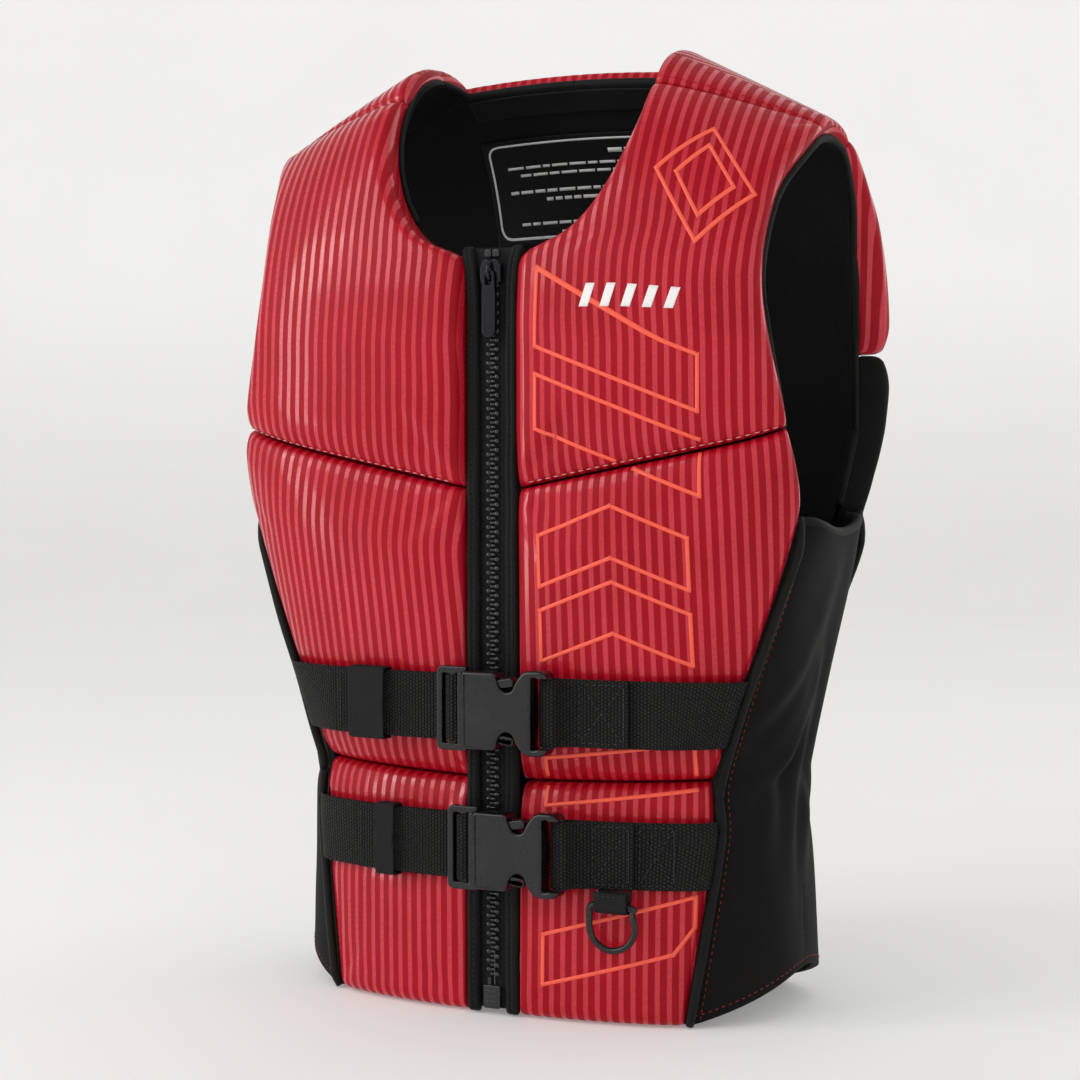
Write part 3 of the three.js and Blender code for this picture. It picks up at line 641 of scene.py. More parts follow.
# Cuts the tools out of a piece, or joins them to it, and removes them.
def carve(piece, tools, operation="DIFFERENCE"):
    for tool in tools:
        addModifier(piece, "BOOLEAN", operation=operation, object=tool, solver="EXACT")
    bpy.context.view_layer.update()
    evaluated = piece.evaluated_get(bpy.context.evaluated_depsgraph_get())
    mesh = bpy.data.meshes.new_from_object(evaluated)
    piece.modifiers.clear()
    old = piece.data
    piece.data = mesh
    mesh.name = piece.name
    bpy.data.meshes.remove(old)
    for tool in tools:
        bpy.data.objects.remove(tool)
    return piece


# Flat faces stay flat and crisp, and rounded ones smooth.
def crisp(piece, degrees=35):
    piece.data.polygons.foreach_set("use_smooth", np.ones(len(piece.data.polygons), bool))
    piece.data.set_sharp_from_angle(angle=math.radians(degrees))
    addModifier(piece, "WEIGHTED_NORMAL", keep_sharp=True)
    return piece


def wear(piece, body, slot, *nodes):
    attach(piece, body)
    if nodes:
        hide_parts(*nodes)
    return piece


view = {
    "spot": (0.6382, -1.3396, 0.3476),
    "tilt": 90 - 2.582,
    "heading": 25.89,
    "lens": 78.97,
    "sensor": 36,
}
camera = bpy.data.objects.new("camera", bpy.data.cameras.new("camera"))
bpy.context.scene.collection.objects.link(camera)
camera.location = view["spot"]
camera.rotation_euler = (math.radians(view["tilt"]), 0, math.radians(view["heading"]))
camera.data.lens = view["lens"]
camera.data.sensor_width = view["sensor"]
bpy.context.scene.camera = camera

studio = {
    "lights": [
        ("key", (-1.5, -1.7, 1.75), (1.5, 1.5), 15),
        ("strip", (-1.25, -1.0, 0.55), (0.3, 1.3), 5),
        ("fill", (2.1, -1.5, 1.1), (1.6, 1.6), 2),
        ("top", (0.2, 0.3, 2.4), (2.2, 2.2), 6),
        ("behind", (1.2, 1.9, 1.3), (1.4, 1.4), 3),
    ],
    "world": 0.42,
    "worldColour": (0.93, 0.94, 0.95, 1),
    "floorAndWallGlow": 0.33,
    "floorColour": colour(226, 225, 223),
}
target = np.array([0.0, 0.0, 0.3])
for name, spot, size, power in studio["lights"]:
    lamp = bpy.data.lights.new(name, "AREA")
    lamp.shape = "RECTANGLE"
    lamp.size, lamp.size_y = size
    lamp.energy = power
    holder = bpy.data.objects.new(name, lamp)
    bpy.context.scene.collection.objects.link(holder)
    holder.location = spot
    holder.rotation_euler = Vector(target - spot).to_track_quat("-Z", "Y").to_euler()

world = bpy.data.worlds.new("studio")
bpy.context.scene.world = world
world.use_nodes = True
background = world.node_tree.nodes["Background"].inputs
background["Color"].default_value = studio["worldColour"]
background["Strength"].default_value = studio["world"]
bpy.context.scene.view_settings.view_transform = "Standard"


# The floor is a disc that rises far behind into a wall: height goes as a quarter circle.
def makeFloor():
    around = 64
    climb = np.linspace(0, 1.45, 16)[1:]
    distance = np.concatenate([np.linspace(0, 3, 12), 3 + 2 * np.sin(climb), [5.0]])[1:, None]
    height = np.concatenate([np.zeros(12), 2 - 2 * np.cos(climb), [5.0]])[1:, None]
    angle = np.linspace(0, 2 * math.pi, around, endpoint=False)
    points = np.stack([distance * np.cos(angle), distance * np.sin(angle), height + 0 * angle], -1)
    rows = len(points)
    ringFaces = quads(rows, around, wrap=True)
    first = np.arange(around)
    fan = np.stack([np.roll(first, -1), np.full(around, rows * around), first], 1)[:, ::-1]
    r = Recipe("studio_floor")
    grain = r.noise(r.place(), 3.0, 2.0)
    shade = r.mix(grain.ramp(0.3, 0.7), studio["floorColour"], colour(228, 227, 225))
    # Painted light: the floor glows a little and the wall more as it rises, though neither is a lamp, so
    # that the wall is as pale as the floor.
    height = r.add("ShaderNodeSeparateXYZ", inputs={0: r.place()}, output=2)
    glow = r.mix(height.ramp(0.0, 0.8), (0.6, 0.6, 0.6, 1.0), (1.0, 1.0, 1.0, 1.0))
    material = r.finish({"Base Color": shade, "Roughness": 0.75, "Emission Color": glow,
                         "Emission Strength": studio["floorAndWallGlow"]})
    allPoints = np.concatenate([points.reshape(-1, 3), [[0, 0, 0]]]) / millimetre
    floor = meshFrom("floor", allPoints, [ringFaces, fan], material)


makeFloor()
print("studio set")


padding = {
    "roll": 11.0,  # how deep the cover goes at a seam
    "spare": 10.4,  # the least of the panel's thickness that a roll leaves
    "seamReach": 24.0,  # how far from a seam it starts to go down
    "sideReach": 17.0,
    "endReach": 12,  # the same at an edge with no seam
    "edgeFade": 14,
    "backGap": 2.6,  # from the back of the panel to the lining
    "belowSurface": 2.0,  # where it starts before the cloth swells
    "swellCap": 2.4,
    "frames": 14,
    "pucker": 0.7,
    "puckerLength": 9.0,
    "puckerAt": (5, 7.0),
    "press": 1.5,
    "pressHalf": 17,
    "pressFade": 9,
    "pressFromZip": (14, 20),
    "spacing": 4.2,
    "fill": 0.85,
}
panels = {}


# Even shares, drawn a little towards both ends.
def drawn(count, amount=0.6):
    t = np.linspace(0, 1, count)
    return mix(t, 0.5 - 0.5 * np.cos(math.pi * t), amount)


# A quarter of an oval: nothing at reach from the edge, all of drop at the edge.
def rollDown(distance, reach, drop):
    t = np.clip(1 - distance / reach, 0, 1)
    return drop * (1 - np.sqrt(np.clip(1 - t ** 2, 0, 1)))


# Smooth and random along a line: a sum of sines with seeded phases.
def waver(at, wavelength, draws=4):
    total = 0
    for k in range(draws):
        total = total + np.sin(2 * math.pi * at / wavelength * (0.7 + 0.23 * k) + dice.uniform(0, 6.28))
    return total / draws


# A grid over one panel. Low and high give the path at a share across, sides gives both
# edges' x at a path. Shares across are even turns round the vest.
def panelGrid(low, high, sides, rows, columns):
    u = drawn(columns)[None, :]
    v = drawn(rows)[:, None]
    path = mix(low(u), high(u), v)
    left, right = sides(path)
    level = np.minimum(np.where(path > form["crest"], backEnd - path, path), form["arch"])
    behind = path > form["crest"]
    edges = []
    for x in (left, right):
        turn = turnAt(x, level, behind)
        edges.append(np.sign(x) * np.where(behind, math.pi - turn, turn))
    angle = mix(edges[0], edges[1], u)
    turn = np.where(behind, math.pi - np.abs(angle), np.abs(angle))
    x = np.sign(angle) * girthPoint(turn, level)[0]
    return x, path


# Swells a body with cloth: its back and walls are pinned, and no point moves past the cap.
def swell(piece, pinned, cap):
    start = readPoints(piece.data)
    group = piece.vertex_groups.new(name="pinned")
    group.add(pinned.tolist(), 1.0, "REPLACE")
    modifier = piece.modifiers.new("Cloth", "CLOTH")
    settings = modifier.settings
    settings.quality = 4
    settings.mass = 0.3
    settings.tension_stiffness = settings.compression_stiffness = 18
    settings.bending_stiffness = 2.0
    settings.use_pressure = True
    settings.uniform_pressure_force = 4.0
    settings.effector_weights.gravity = 0.0
    settings.vertex_group_mass = "pinned"
    modifier.collision_settings.use_collision = False
    modifier.collision_settings.use_self_collision = False
    modifier.point_cache.frame_start = 1
    modifier.point_cache.frame_end = padding["frames"]
    for step in range(1, padding["frames"] + 1):
        bpy.context.scene.frame_set(step)
    evaluated = piece.evaluated_get(bpy.context.evaluated_depsgraph_get())
    moved = readPoints(evaluated.data) - start
    piece.modifiers.remove(modifier)
    piece.vertex_groups.remove(group)
    bpy.context.scene.frame_set(1)
    length = np.linalg.norm(moved, axis=1, keepdims=True)
    moved *= np.minimum(1, cap / np.maximum(length, 1e-9))
    moved[~np.isfinite(moved).all(1)] = 0
    writePoints(piece.data, start + moved)


# One padded panel: an oval roll at its edges, puckers at its seams, a press under the belts.
def paddedPanel(name, low, high, sides, seamLow, seamHigh, material, nodes, cut=None, zipSide=0):
    middle = np.array([0.5])
    width = float(abs(np.subtract(*sides(mix(low(middle), high(middle), 0.5))))[0]) * 1.15
    height = float(np.mean(np.abs(high(drawn(9)) - low(drawn(9)))))
    columns = int(round(width / padding["spacing"])) + 6
    rows = int(round(height / padding["spacing"])) + 6
    x, path = panelGrid(low, high, sides, rows, columns)
    flat = place(x, path)
    across, up = arcs(flat, 1), arcs(flat, 0)
    deepest = thickness(path) - padding["spare"]
    roll = np.minimum(padding["roll"], deepest)
    toLeft, toRight = across, across[:, -1:] - across
    toLow, toHigh = up, up[-1:] - up
    sideRolls = []
    for k, distance in enumerate((toLeft, toRight)):
        depth = roll
        if zipSide and (k == 0) == (zipSide > 0):
            run = np.minimum(path, form["arch"])
            depth = np.minimum(roll, np.maximum(girth("front", run) - 90, 2))
        sideRolls.append(rollDown(distance, padding["sideReach"], depth))
    seamRolls = [rollDown(distance, padding["seamReach" if seam else "endReach"], roll)
                 for distance, seam in ((toLow, seamLow), (toHigh, seamHigh))]
    down = np.hypot(np.maximum(*sideRolls), np.maximum(*seamRolls))
    for distance, seam in ((toLow, seamLow), (toHigh, seamHigh)):
        if seam:
            wave = 0.5 + 0.5 * waver(x + 31 * path[0, 0], padding["puckerLength"])
            at, reach = padding["puckerAt"]
            down = down + padding["pucker"] * wave * np.exp(-((distance - at) / reach) ** 2)
    down = np.minimum(down, deepest + 3)
    lump = waver(x, 90.0, 3) * waver(path, 70.0, 3)
    inner = padding["belowSurface"] + 0.5 * (0.5 + lump)
    edge = np.minimum.reduce([toLeft, toRight, toLow, toHigh])
    inner = inner * np.clip(edge / padding["edgeFade"], 0, 1)
    outer, outward = place(x, path, down + inner, normals=True)
    back = place(x, path, thickness(path) - form["lining"] - padding["backGap"])
    uv = np.stack([x[:, :1] + across, path], -1)
    other = None
    if cut is not None:
        lean = math.radians(cut["lean"]) * (1 if x.mean() > 0 else -1)
        other = (cut["row"], np.stack([uv[..., 0] * math.cos(lean) + uv[..., 1] * math.sin(lean),
                                       uv[..., 1] * math.cos(lean) - uv[..., 0] * math.sin(lean)], -1))
    flip = bool(np.cross(outer[1, 1] - outer[1, 0], outer[2, 0] - outer[1, 0]) @ outward[1, 0] < 0)
    piece = bodyFrom(name, outer, back, material, uv, walls=3, flip=flip, cut=other)
    grid = np.arange(rows * columns).reshape(rows, columns)
    free = grid[1:-1, 1:-1].ravel()
    pinned = np.setdiff1d(np.arange(len(piece.data.vertices)), free)
    swell(piece, pinned, padding["swellCap"])
    settled = readPoints(piece.data)
    shape = settled[:rows * columns].reshape(rows, columns, 3)
    if name.endswith(("waist", "middle")) and not name.startswith("back"):
        for beltMiddle in beltMiddles:  # the belts press the foam in
            fromBelt = np.abs(shape[..., 2] - beltMiddle) - padding["pressHalf"]
            press = np.clip(1 - fromBelt / padding["pressFade"], 0, 1)
            press = press * press * (3 - 2 * press) * padding["press"]
            clear, reach = padding["pressFromZip"]
            press = press * np.clip((np.abs(shape[..., 0]) - clear) / reach, 0, 1)
            shape = shape - outward * press[..., None]
        settled[:rows * columns] = shape.reshape(-1, 3)
        writePoints(piece.data, settled)
    addModifier(piece, "SUBSURF", levels=1, render_levels=1)
    wear(piece, "vest", "striped_neoprene" if material == finishes["striped"] else "black_neoprene",
         *nodes)
    panels[name] = {"x": x, "path": path, "points": shape, "outward": outward}
    return piece


beltMiddles = [float(sum(corner[2] for corner in nodeBox(f"{n}_right_web")) / 2)
               for n in ("upper", "lower")]
seams = {
    "waist": (141, 145),
    "chest": (315, 351),
    "yoke": (535, 572),
    "back": (150, 395),
    "gap": 0.5,
}


# The seam lines are in the vest's own paths; a share across runs from the zip outwards.
def addFronts():
    for word, side in (("left", 1), ("right", -1)):
        def outwards(u):
            return u if side > 0 else 1 - u

        def line(pair, shift):
            return lambda u: mix(pair[0], pair[1], outwards(u)) + shift

        def sides(path):
            inner, outer = innerEdge(path) + seams["gap"], outerEdge(path) - seams["gap"]
            return (inner, outer) if side > 0 else (-outer, -inner)

        gap = seams["gap"]
        bottom = lambda u: 0.4 + 0 * u
        rows = [
            ("waist", bottom, line(seams["waist"], -gap), False, True),
            ("middle", line(seams["waist"], gap), line(seams["chest"], -gap), True, True),
            ("chest", line(seams["chest"], gap), line(seams["yoke"], -gap), True, True),
        ]
        for part, low, high, seamLow, seamHigh in rows:
            paddedPanel(f"{word}_{part}", low, high, sides, seamLow, seamHigh, finishes["striped"],
                        [f"{word}_{part}_cover", f"{word}_{part}_foam"], zipSide=side)
        top = backEnd - form["backNeck"] - gap
        paddedPanel(f"{word}_yoke", line(seams["yoke"], gap), lambda u: top + 0 * u, sides, True, True,
                    finishes["striped"], [f"{word}_yoke_cover", f"{word}_yoke_foam"],
                    cut={"row": 9, "lean": -62})
        print(word, "front made")


def addBack():
    def sides(path):
        edge = through(backEdge, backEnd - path) - seams["gap"]
        return (edge, -edge)

    def level(run):
        return lambda u: backEnd - run + 0 * u

    gap = seams["gap"]
    rows = [
        ("lower", 0.4, seams["back"][0] - gap, "neoprene", False, True),
        ("middle", seams["back"][0] + gap, seams["back"][1] - gap, "neoprene", True, True),
        ("upper", seams["back"][1] + gap, form["backNeck"] - gap, "striped", True, True),
    ]
    for part, low, high, finish, seamLow, seamHigh in rows:
        paddedPanel(f"back_{part}", level(low), level(high), sides, seamLow, seamHigh,
                    finishes[finish], [f"back_{part}_cover", f"back_{part}_foam"])
    print("back made")


addFronts()
addBack()


# A sheet follows rows of paths across the vest at its own depth, with a second face one
# thickness further in. Share across runs between the sheet's two sides in even turns.
def clothSheet(name, low, high, sides, rows, columns, depth, thick, material, flip, ripple=0.0):
    x, path = panelGrid(low, high, sides, rows, columns)
    wave = ripple * waver(x, 60.0, 3) * waver(path, 80.0, 3)
    outer = place(x, path, depth(path) + wave)
    inner = place(x, path, depth(path) + wave + thick)
    uv = np.stack([x[:, :1] + arcs(outer, 1), path], -1)
    return bodyFrom(name, outer, inner, material, uv, walls=1, flip=flip)


# A cloth's own cut: the volume of its CAD solid over its thickness, in square metres. It
# doesn't depend on the mesh that is made here, so the two can be compared.
def cutArea(node, thick):
    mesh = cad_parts[node].data
    mesh.calc_loop_triangles()
    corners = np.empty(len(mesh.loop_triangles) * 3, int)
    mesh.loop_triangles.foreach_get("vertices", corners)
    a, b, c = np.moveaxis(readPoints(mesh)[corners.reshape(-1, 3)], 1, 0)
    volume = abs(np.sum(a * np.cross(b, c)) / 6)
    return volume / thick * millimetre ** 2


linings = {
    "ripple": 0.25,
    "frontCut": (0.178, 0.658),
    "backCut": (0.391, 0.585),
    "collarCut": (0.151, 0.017),
    "labelCut": (0.156, 0.073),
}


def addLinings():
    depth = lambda path: thickness(path) - form["lining"]
    top = backEnd - form["backNeck"] - 0.5
    for word, side in (("left", 1), ("right", -1)):
        def sides(path):
            inner, outer = innerEdge(path) + 0.5, outerEdge(path) - 0.5
            return (inner, outer) if side > 0 else (-outer, -inner)
        piece = clothSheet(f"{word}_front_lining_cloth", lambda u: 1 + 0 * u,
                           lambda u: top + 0 * u, sides, 150, 30, depth, form["lining"],
                           finishes["lining"], False, linings["ripple"])
        wear(piece, "vest", "lining_cloth", f"{word}_front_lining")
        cutArea(f"{word}_front_lining", form["lining"])

    def backSides(path):
        edge = through(backEdge, backEnd - path) - 0.5
        return edge, -edge
    piece = clothSheet("back_lining_cloth", lambda u: backEnd - 1 + 0 * u,
                       lambda u: backEnd - form["backNeck"] + 0.5 + 0 * u, backSides, 130, 90, depth,
                       form["lining"], finishes["lining"], True, linings["ripple"])
    wear(piece, "vest", "lining_cloth", "back_lining")
    cutArea("back_lining", form["lining"])

    inner = lambda path: thickness(path) + 1.0
    half = form["backNeckHalf"] - 1
    neckLevel = backEnd - form["backNeck"]
    piece = clothSheet("collar_facing_cloth", lambda u: neckLevel + 22 + 0 * u,
                       lambda u: neckLevel + 1 + 0 * u,
                       lambda path: (half + 0 * path, -half + 0 * path), 12, 44, inner, 1.0,
                       finishes["piping"], True, 0.2)
    wear(piece, "vest", "lining_cloth", "collar_facing")
    piece = clothSheet("inner_label_cloth", lambda u: backEnd - label["low"] + 0 * u,
                       lambda u: backEnd - label["high"] + 0 * u,
                       lambda path: (label["half"] + 0 * path, -label["half"] + 0 * path), 26, 60,
                       lambda path: thickness(path) + 1.4, 0.7, finishes["labelCloth"], True, 0.15)
    wear(piece, "vest", "label_cloth", "inner_label")


label = {
    "low": 456,
    "high": 522,
    "half": 80,
    "border": 4.0,
    "borderWidth": 1.5,
    "corner": 8.0,
    "rows": [(10, 0.42, 3.0), (17, 0.96, 1.7), (22, 0.9, 1.7), (27, 0.35, 1.7), (32.5, 0.97, 1.9),
             (37.5, 0.8, 1.9), (45, 0.5, 2.6), (51, 0.94, 1.6), (56, 0.72, 1.6)],
}
addLinings()
print("linings made")

sideCloth = {
    "depth": 6.5,
    "thick": 5.0,
    "hemRise": 26,
    "armpit": 302,
    "armpitDip": 13,
    "cornerDrop": 5.0,
    "cornerTuck": 6.5,
    "cut": (0.188, 0.306),
    # Creases: place across, path, direction in degrees, length, width and depth in millimetres.
    "creases": [(0.42, 0.52, 62, 46, 8, 4.0), (0.3, 0.47, 35, 34, 7, 3.0), (0.62, 0.56, 100, 44, 9, 3.0),
                (0.5, 0.42, 78, 40, 8, 2.6), (0.72, 0.38, 60, 40, 11, 2.2), (0.55, 0.75, 80, 60, 15, 2.0),
                (0.2, 0.6, 55, 40, 8, 2.6)],
}


# A side panel between the front and back seams. Its hem and armpit are bowed, and each crease
# is a long narrow dip: a bell across its direction and a wider bell along it.
def sideGrid(side, rows, columns, depth):
    across = drawn(columns, 0.4)[None, :] + np.zeros((rows, 1))
    up = drawn(rows, 0.3)[:, None] + np.zeros((1, columns))
    bow = np.sin(math.pi * across)
    low = 1 + sideCloth["hemRise"] * bow
    corner = np.exp(-(np.minimum(across, 1 - across) / 0.09) ** 2)
    high = sideCloth["armpit"] - sideCloth["armpitDip"] * bow - sideCloth["cornerDrop"] * corner
    run = mix(low, high, up)
    gap = 1.0
    start = turnAt(through(frontEdge, run) + gap, run, False)
    end = turnAt(through(backEdge, run) + gap, run, True)
    turn = mix(start, end, across)
    points, outward = inside(np.full(turn.shape, float(side)), turn, run, 0.0, True)
    width = arcs(points, 1)
    dip = 0
    total = width[:, -1:]
    for place, level, degrees, length, wide, deep in sideCloth["creases"]:
        dx = (across - place) * total
        dz = run - level * sideCloth["armpit"]
        angle = math.radians(degrees)
        along = dx * math.cos(angle) + dz * math.sin(angle)
        off = -dx * math.sin(angle) + dz * math.cos(angle) + 5 * np.sin(along / 19.0)
        bell = np.exp(-(off / wide) ** 2) - 0.55 * np.exp(-((off - 1.7 * wide) / wide) ** 2)
        dip = dip + deep * bell * np.exp(-(along / length) ** 2)
    dip = dip + 0.5 * waver(width, 55, 3) * waver(run, 75, 3)
    dart = np.exp(-((across - 0.5) * total / 2.2) ** 2) * np.clip((78 - run) / 12, 0, 1)
    dip = dip + 1.3 * dart
    fade = np.minimum.reduce([width, total - width, run - low, high - run])
    dip = dip * np.clip(fade / 12, 0, 1)
    hollow = 1.5 * rollDown(np.minimum(width, total - width), 9, 1.0)
    toCorner = np.hypot(np.minimum(width, total - width), high - run)
    hollow = hollow + sideCloth["cornerTuck"] * np.exp(-(toCorner / 17.0) ** 2)
    shape = points - outward * (depth + dip + hollow)[..., None]
    return shape, outward, across, run, width


sideGrids = {}


def addSides():
    for word, side in (("left", 1), ("right", -1)):
        outer, outward, across, run, width = sideGrid(side, 120, 56, sideCloth["depth"])
        inner = outer - outward * sideCloth["thick"]
        uv = np.stack([width, run], -1)
        piece = bodyFrom(f"{word}_side_cloth", outer, inner, finishes["neoprene"], uv, walls=3,
                         flip=side < 0)
        area = cutArea(f"{word}_side_panel", sideCloth["thick"])
        addModifier(piece, "SUBSURF", levels=1, render_levels=1)
        wear(piece, "vest", "black_neoprene", f"{word}_side_panel")
        sideGrids[word] = {"points": outer, "outward": outward, "across": across, "run": run,
                           "width": width}


addSides()
print("side panels made")


trim = {
    "pipe": 2.5,
    "pipeDepth": 3.2,
    "allowance": 3.4,
    "allowanceDepth": 10.0,
    "bound": 1.7,
    "stitch": 2.9,
    "stitchGap": 1.9,
    "thread": 0.28,
}


def smoothPath(points, step):
    points = np.asarray(points, float)
    length = arcs(points)
    at = np.arange(0, length[-1], step)
    at = np.append(at, length[-1])
    return np.stack([np.interp(at, length, points[:, k]) for k in range(points.shape[1])], 1)


def addTrim():
    for word, side in (("left", 1), ("right", -1)):
        pieces = []
        for edge, behind in ((frontEdge, False), (backEdge, True)):
            run = np.linspace(2.0, sideCloth["armpit"] - 3, 140)
            x = through(edge, run) + 0.9
            path = backEnd - run if behind else run
            dive = 7 * np.clip((run - sideCloth["armpit"] + 26) / 23, 0, 1) ** 2
            dive = dive + 4 * np.exp(-(run / 6) ** 2)
            line = place(side * x, path, trim["pipeDepth"] + dive + 0.5 * waver(run, 70, 3))
            pieces.append(tube(f"pipe_{behind}", line, trim["pipe"], finishes["piping"], 12, squash=1.15))
            # The seam allowance behind it, which closes the gap between the panels.
            line = place(side * (x - 0.9), path, trim["allowanceDepth"])
            pieces.append(tube(f"allowance_{behind}", line, trim["allowance"], finishes["piping"], 10))
        wear(join(f"{word}_side_piping", pieces), "vest", "black_neoprene")

        # The armhole's bound edge: up the front, over the shoulder and down the back.
        path = np.linspace(sideCloth["armpit"] + 2, backEnd - sideCloth["armpit"] - 2, 260)
        line = place(side * (outerEdge(path) + 0.2), path, thickness(path) - 2.6)
        pieces = [tube("armhole", line, trim["bound"], finishes["piping"], 10, squash=1.5)]
        top = sideGrids[word]["points"][-1] - sideGrids[word]["outward"][-1] * sideCloth["thick"] / 2
        pieces.append(tube("armpit", top, 2.9, finishes["piping"], 12, up=(0, 0, 1)))
        # The neck's bound edge, from the zip to the middle of the back.
        path = np.linspace(form["neckRun"] + 19, backEnd - form["backNeck"], 150)
        line = place(side * (innerEdge(path) - 0.2), path, thickness(path) - 2.6)
        across = np.linspace(form["backNeckHalf"], 0.05, 40)[1:]
        rest = place(side * across, backEnd - form["backNeck"] + 0 * across,
                     float(thickness(backEnd - form["backNeck"])) - 2.6)
        pieces.append(tube("neck", np.concatenate([line, rest]), trim["bound"], finishes["piping"], 10,
                           squash=1.5))
        wear(join(f"{word}_edge_binding", pieces), "vest", "black_neoprene")


addTrim()
print("piping made")


# Stitches along a path: each is a short tube with dipping ends, joined into one piece.
def stitches(name, lines, material, length=None, gap=None, thread=None, lift=0.35):
    length, gap = length or trim["stitch"], gap or trim["stitchGap"]
    thread = thread or trim["thread"]
    points, faces = [], []
    sides, rings = 6, 5
    t = np.linspace(0, 1, rings)
    for line, outward in lines:
        joined = smoothPath(np.concatenate([line, outward], 1), 0.5)
        line, outward = joined[:, :3], joined[:, 3:]
        total = len(line) * 0.5
        starts = np.arange(gap, total - length - gap, length + gap)
        if not len(starts):
            continue
        at = (starts[:, None] + t * length) / 0.5
        low = np.floor(at).astype(int)
        high = np.minimum(low + 1, len(line) - 1)
        share = (at - low)[..., None]
        spot = mix(line[low], line[high], share)
        normal = mix(outward[low], outward[high], share)
        normal = unit(normal)
        spot = spot + normal * ((lift + thread) * np.sin(math.pi * t) ** 0.5 - thread)[None, :, None]
        along = unit(np.gradient(spot, axis=1))
        first = unit(np.cross(along, normal))
        second = np.cross(first, along)
        angle = np.linspace(0, 2 * math.pi, sides, endpoint=False)
        size = thread * (0.35 + 0.65 * np.sin(math.pi * t))[None, :, None, None]
        ring = spot[:, :, None] + size * (np.cos(angle)[:, None] * first[:, :, None] +
                                          np.sin(angle)[:, None] * second[:, :, None])
        offset = sum(len(p) for p in points)
        points.append(ring.reshape(-1, 3))
        one, caps = quads(rings, sides, wrap=True), endCaps(rings, sides)
        shift = (np.arange(len(starts)) * rings * sides + offset)[:, None, None]
        faces.append((one[None] + shift).reshape(-1, 4))
        faces.append((caps[None] + shift).reshape(-1, sides))
    piece = meshFrom(name, np.concatenate(points), faces, material)
    tidyNormals(piece)
    return piece


# A line between two neighbouring panels' edges, with the way out of the seam.
def seamLine(lower, upper, inset=2, side=0):
    a, b = panels[lower], panels[upper]
    rows = [a["points"][-1 - inset], b["points"][inset]]
    columns = min(len(rows[0]), len(rows[1]))
    t = np.linspace(0, 1, columns)

    def spread(row):
        own = np.linspace(0, 1, len(row))
        return np.stack([np.interp(t, own, row[:, k]) for k in range(3)], 1)

    return [spread(row) for row in rows], spread(a["outward"][-1])


def addSeamStitches():
    lines = []
    for word in ("left", "right"):
        both, outward = seamLine(f"{word}_middle", f"{word}_chest", inset=1)
        lines.append((both[1][3:-3], outward[3:-3]))
    wear(stitches("chest_seam_stitches", lines, finishes["paleThread"], 3.4, 2.0, 0.3, 0.3), "vest",
         "striped_neoprene")
    lines = []
    for word in ("left", "right"):
        both, outward = seamLine(f"{word}_chest", f"{word}_yoke", inset=2)
        lines.append((both[1][3:-3], outward[3:-3]))
    both, outward = seamLine("back_middle", "back_upper", inset=2)
    lines.append((both[0][3:-3], outward[3:-3]))
    wear(stitches("upper_seam_stitches", lines, finishes["redThread"], 2.6, 1.6, 0.25, 0.25), "vest",
         "striped_neoprene")
    for word in ("left", "right"):
        g = sideGrids[word]
        lines = []
        for distance, fromBack in ((6.5, False), (6.5, True)):
            away = g["width"][:, -1:] - g["width"] if fromBack else g["width"]
            column = np.argmin(np.abs(away - distance), axis=1)
            rows = np.arange(len(column))
            share = np.stack([rowAt(g["points"], away, distance, k) for k in range(3)], 1)
            lines.append((share, g["outward"][rows, column]))
        hem = (g["points"][3], g["outward"][3])
        lines.append(hem)
        wear(stitches(f"{word}_side_stitches", lines, finishes["redThread"], 2.4, 1.9, 0.24, 0.25),
             "vest", "black_neoprene")
        middle = g["points"].shape[1] // 2
        dart = g["run"][:, middle] < 76
        out = g["outward"][dart, middle]
        wear(stitches(f"{word}_dart_stitches", [(g["points"][dart, middle] + out * 0.1, out)],
                      finishes["blackThread"], 2.6, 1.4, 0.3, 0.3), "vest", "black_neoprene")


# The points of each row where a distance along it is reached.
def rowAt(points, away, distance, axis):
    order = np.argsort(away, axis=1)
    sortedAway = np.take_along_axis(away, order, 1)
    values = np.take_along_axis(points[..., axis], order, 1)
    high = np.clip((sortedAway < distance).sum(1), 1, away.shape[1] - 1)
    rows = np.arange(len(high))
    a, b = sortedAway[rows, high - 1], sortedAway[rows, high]
    share = np.clip((distance - a) / np.maximum(b - a, 1e-6), 0, 1)
    return mix(values[rows, high - 1], values[rows, high], share)


addSeamStitches()
print("stitches made")


zipValues = {
    "pitch": 5.4,
    "headAt": 3.6,
    "beadAt": 4.1,
    "beadRadius": 0.75,
    "tapeSides": (0.3, 14.2),
    "tapeCut": 0.0134,
    "tapeThick": 0.7,
    "cordAt": 5.0,
    "cordHigh": 0.5,
    "cordWide": 0.8,
    "weltBottom": 1.0,
    "weltTop": 458.0,
    "weltHigh": 4.3,
    "grooveDeep": 1.15,
    "weltFill": 0.7,
}


# One tooth: a bar whose half height and lift are functions of the distance from the bead,
# with a round knob at its head.
def toothShape():
    reach = np.array([-0.9, -0.6, 0.1, 1.0, 1.9, 2.6, 3.2, 3.9, 4.7, 5.3, 5.6])
    half = np.array([0.5, 1.15, 1.6, 1.68, 1.35, 0.8, 0.78, 1.0, 1.05, 0.7, 0.2])
    lift = np.array([0.3, 0.62, 0.92, 1.0, 0.8, 0.45, 0.45, 0.66, 0.7, 0.4, 0.1])
    angle = np.linspace(0, 2 * math.pi, 8, endpoint=False) + math.pi / 8
    ring = np.stack([np.broadcast_to(reach[:, None], (len(reach), 8)),
                     lift[:, None] * np.sin(angle), half[:, None] * np.cos(angle)], -1)
    return ring.reshape(-1, 3), quads(len(reach), 8, wrap=True), endCaps(len(reach), 8)


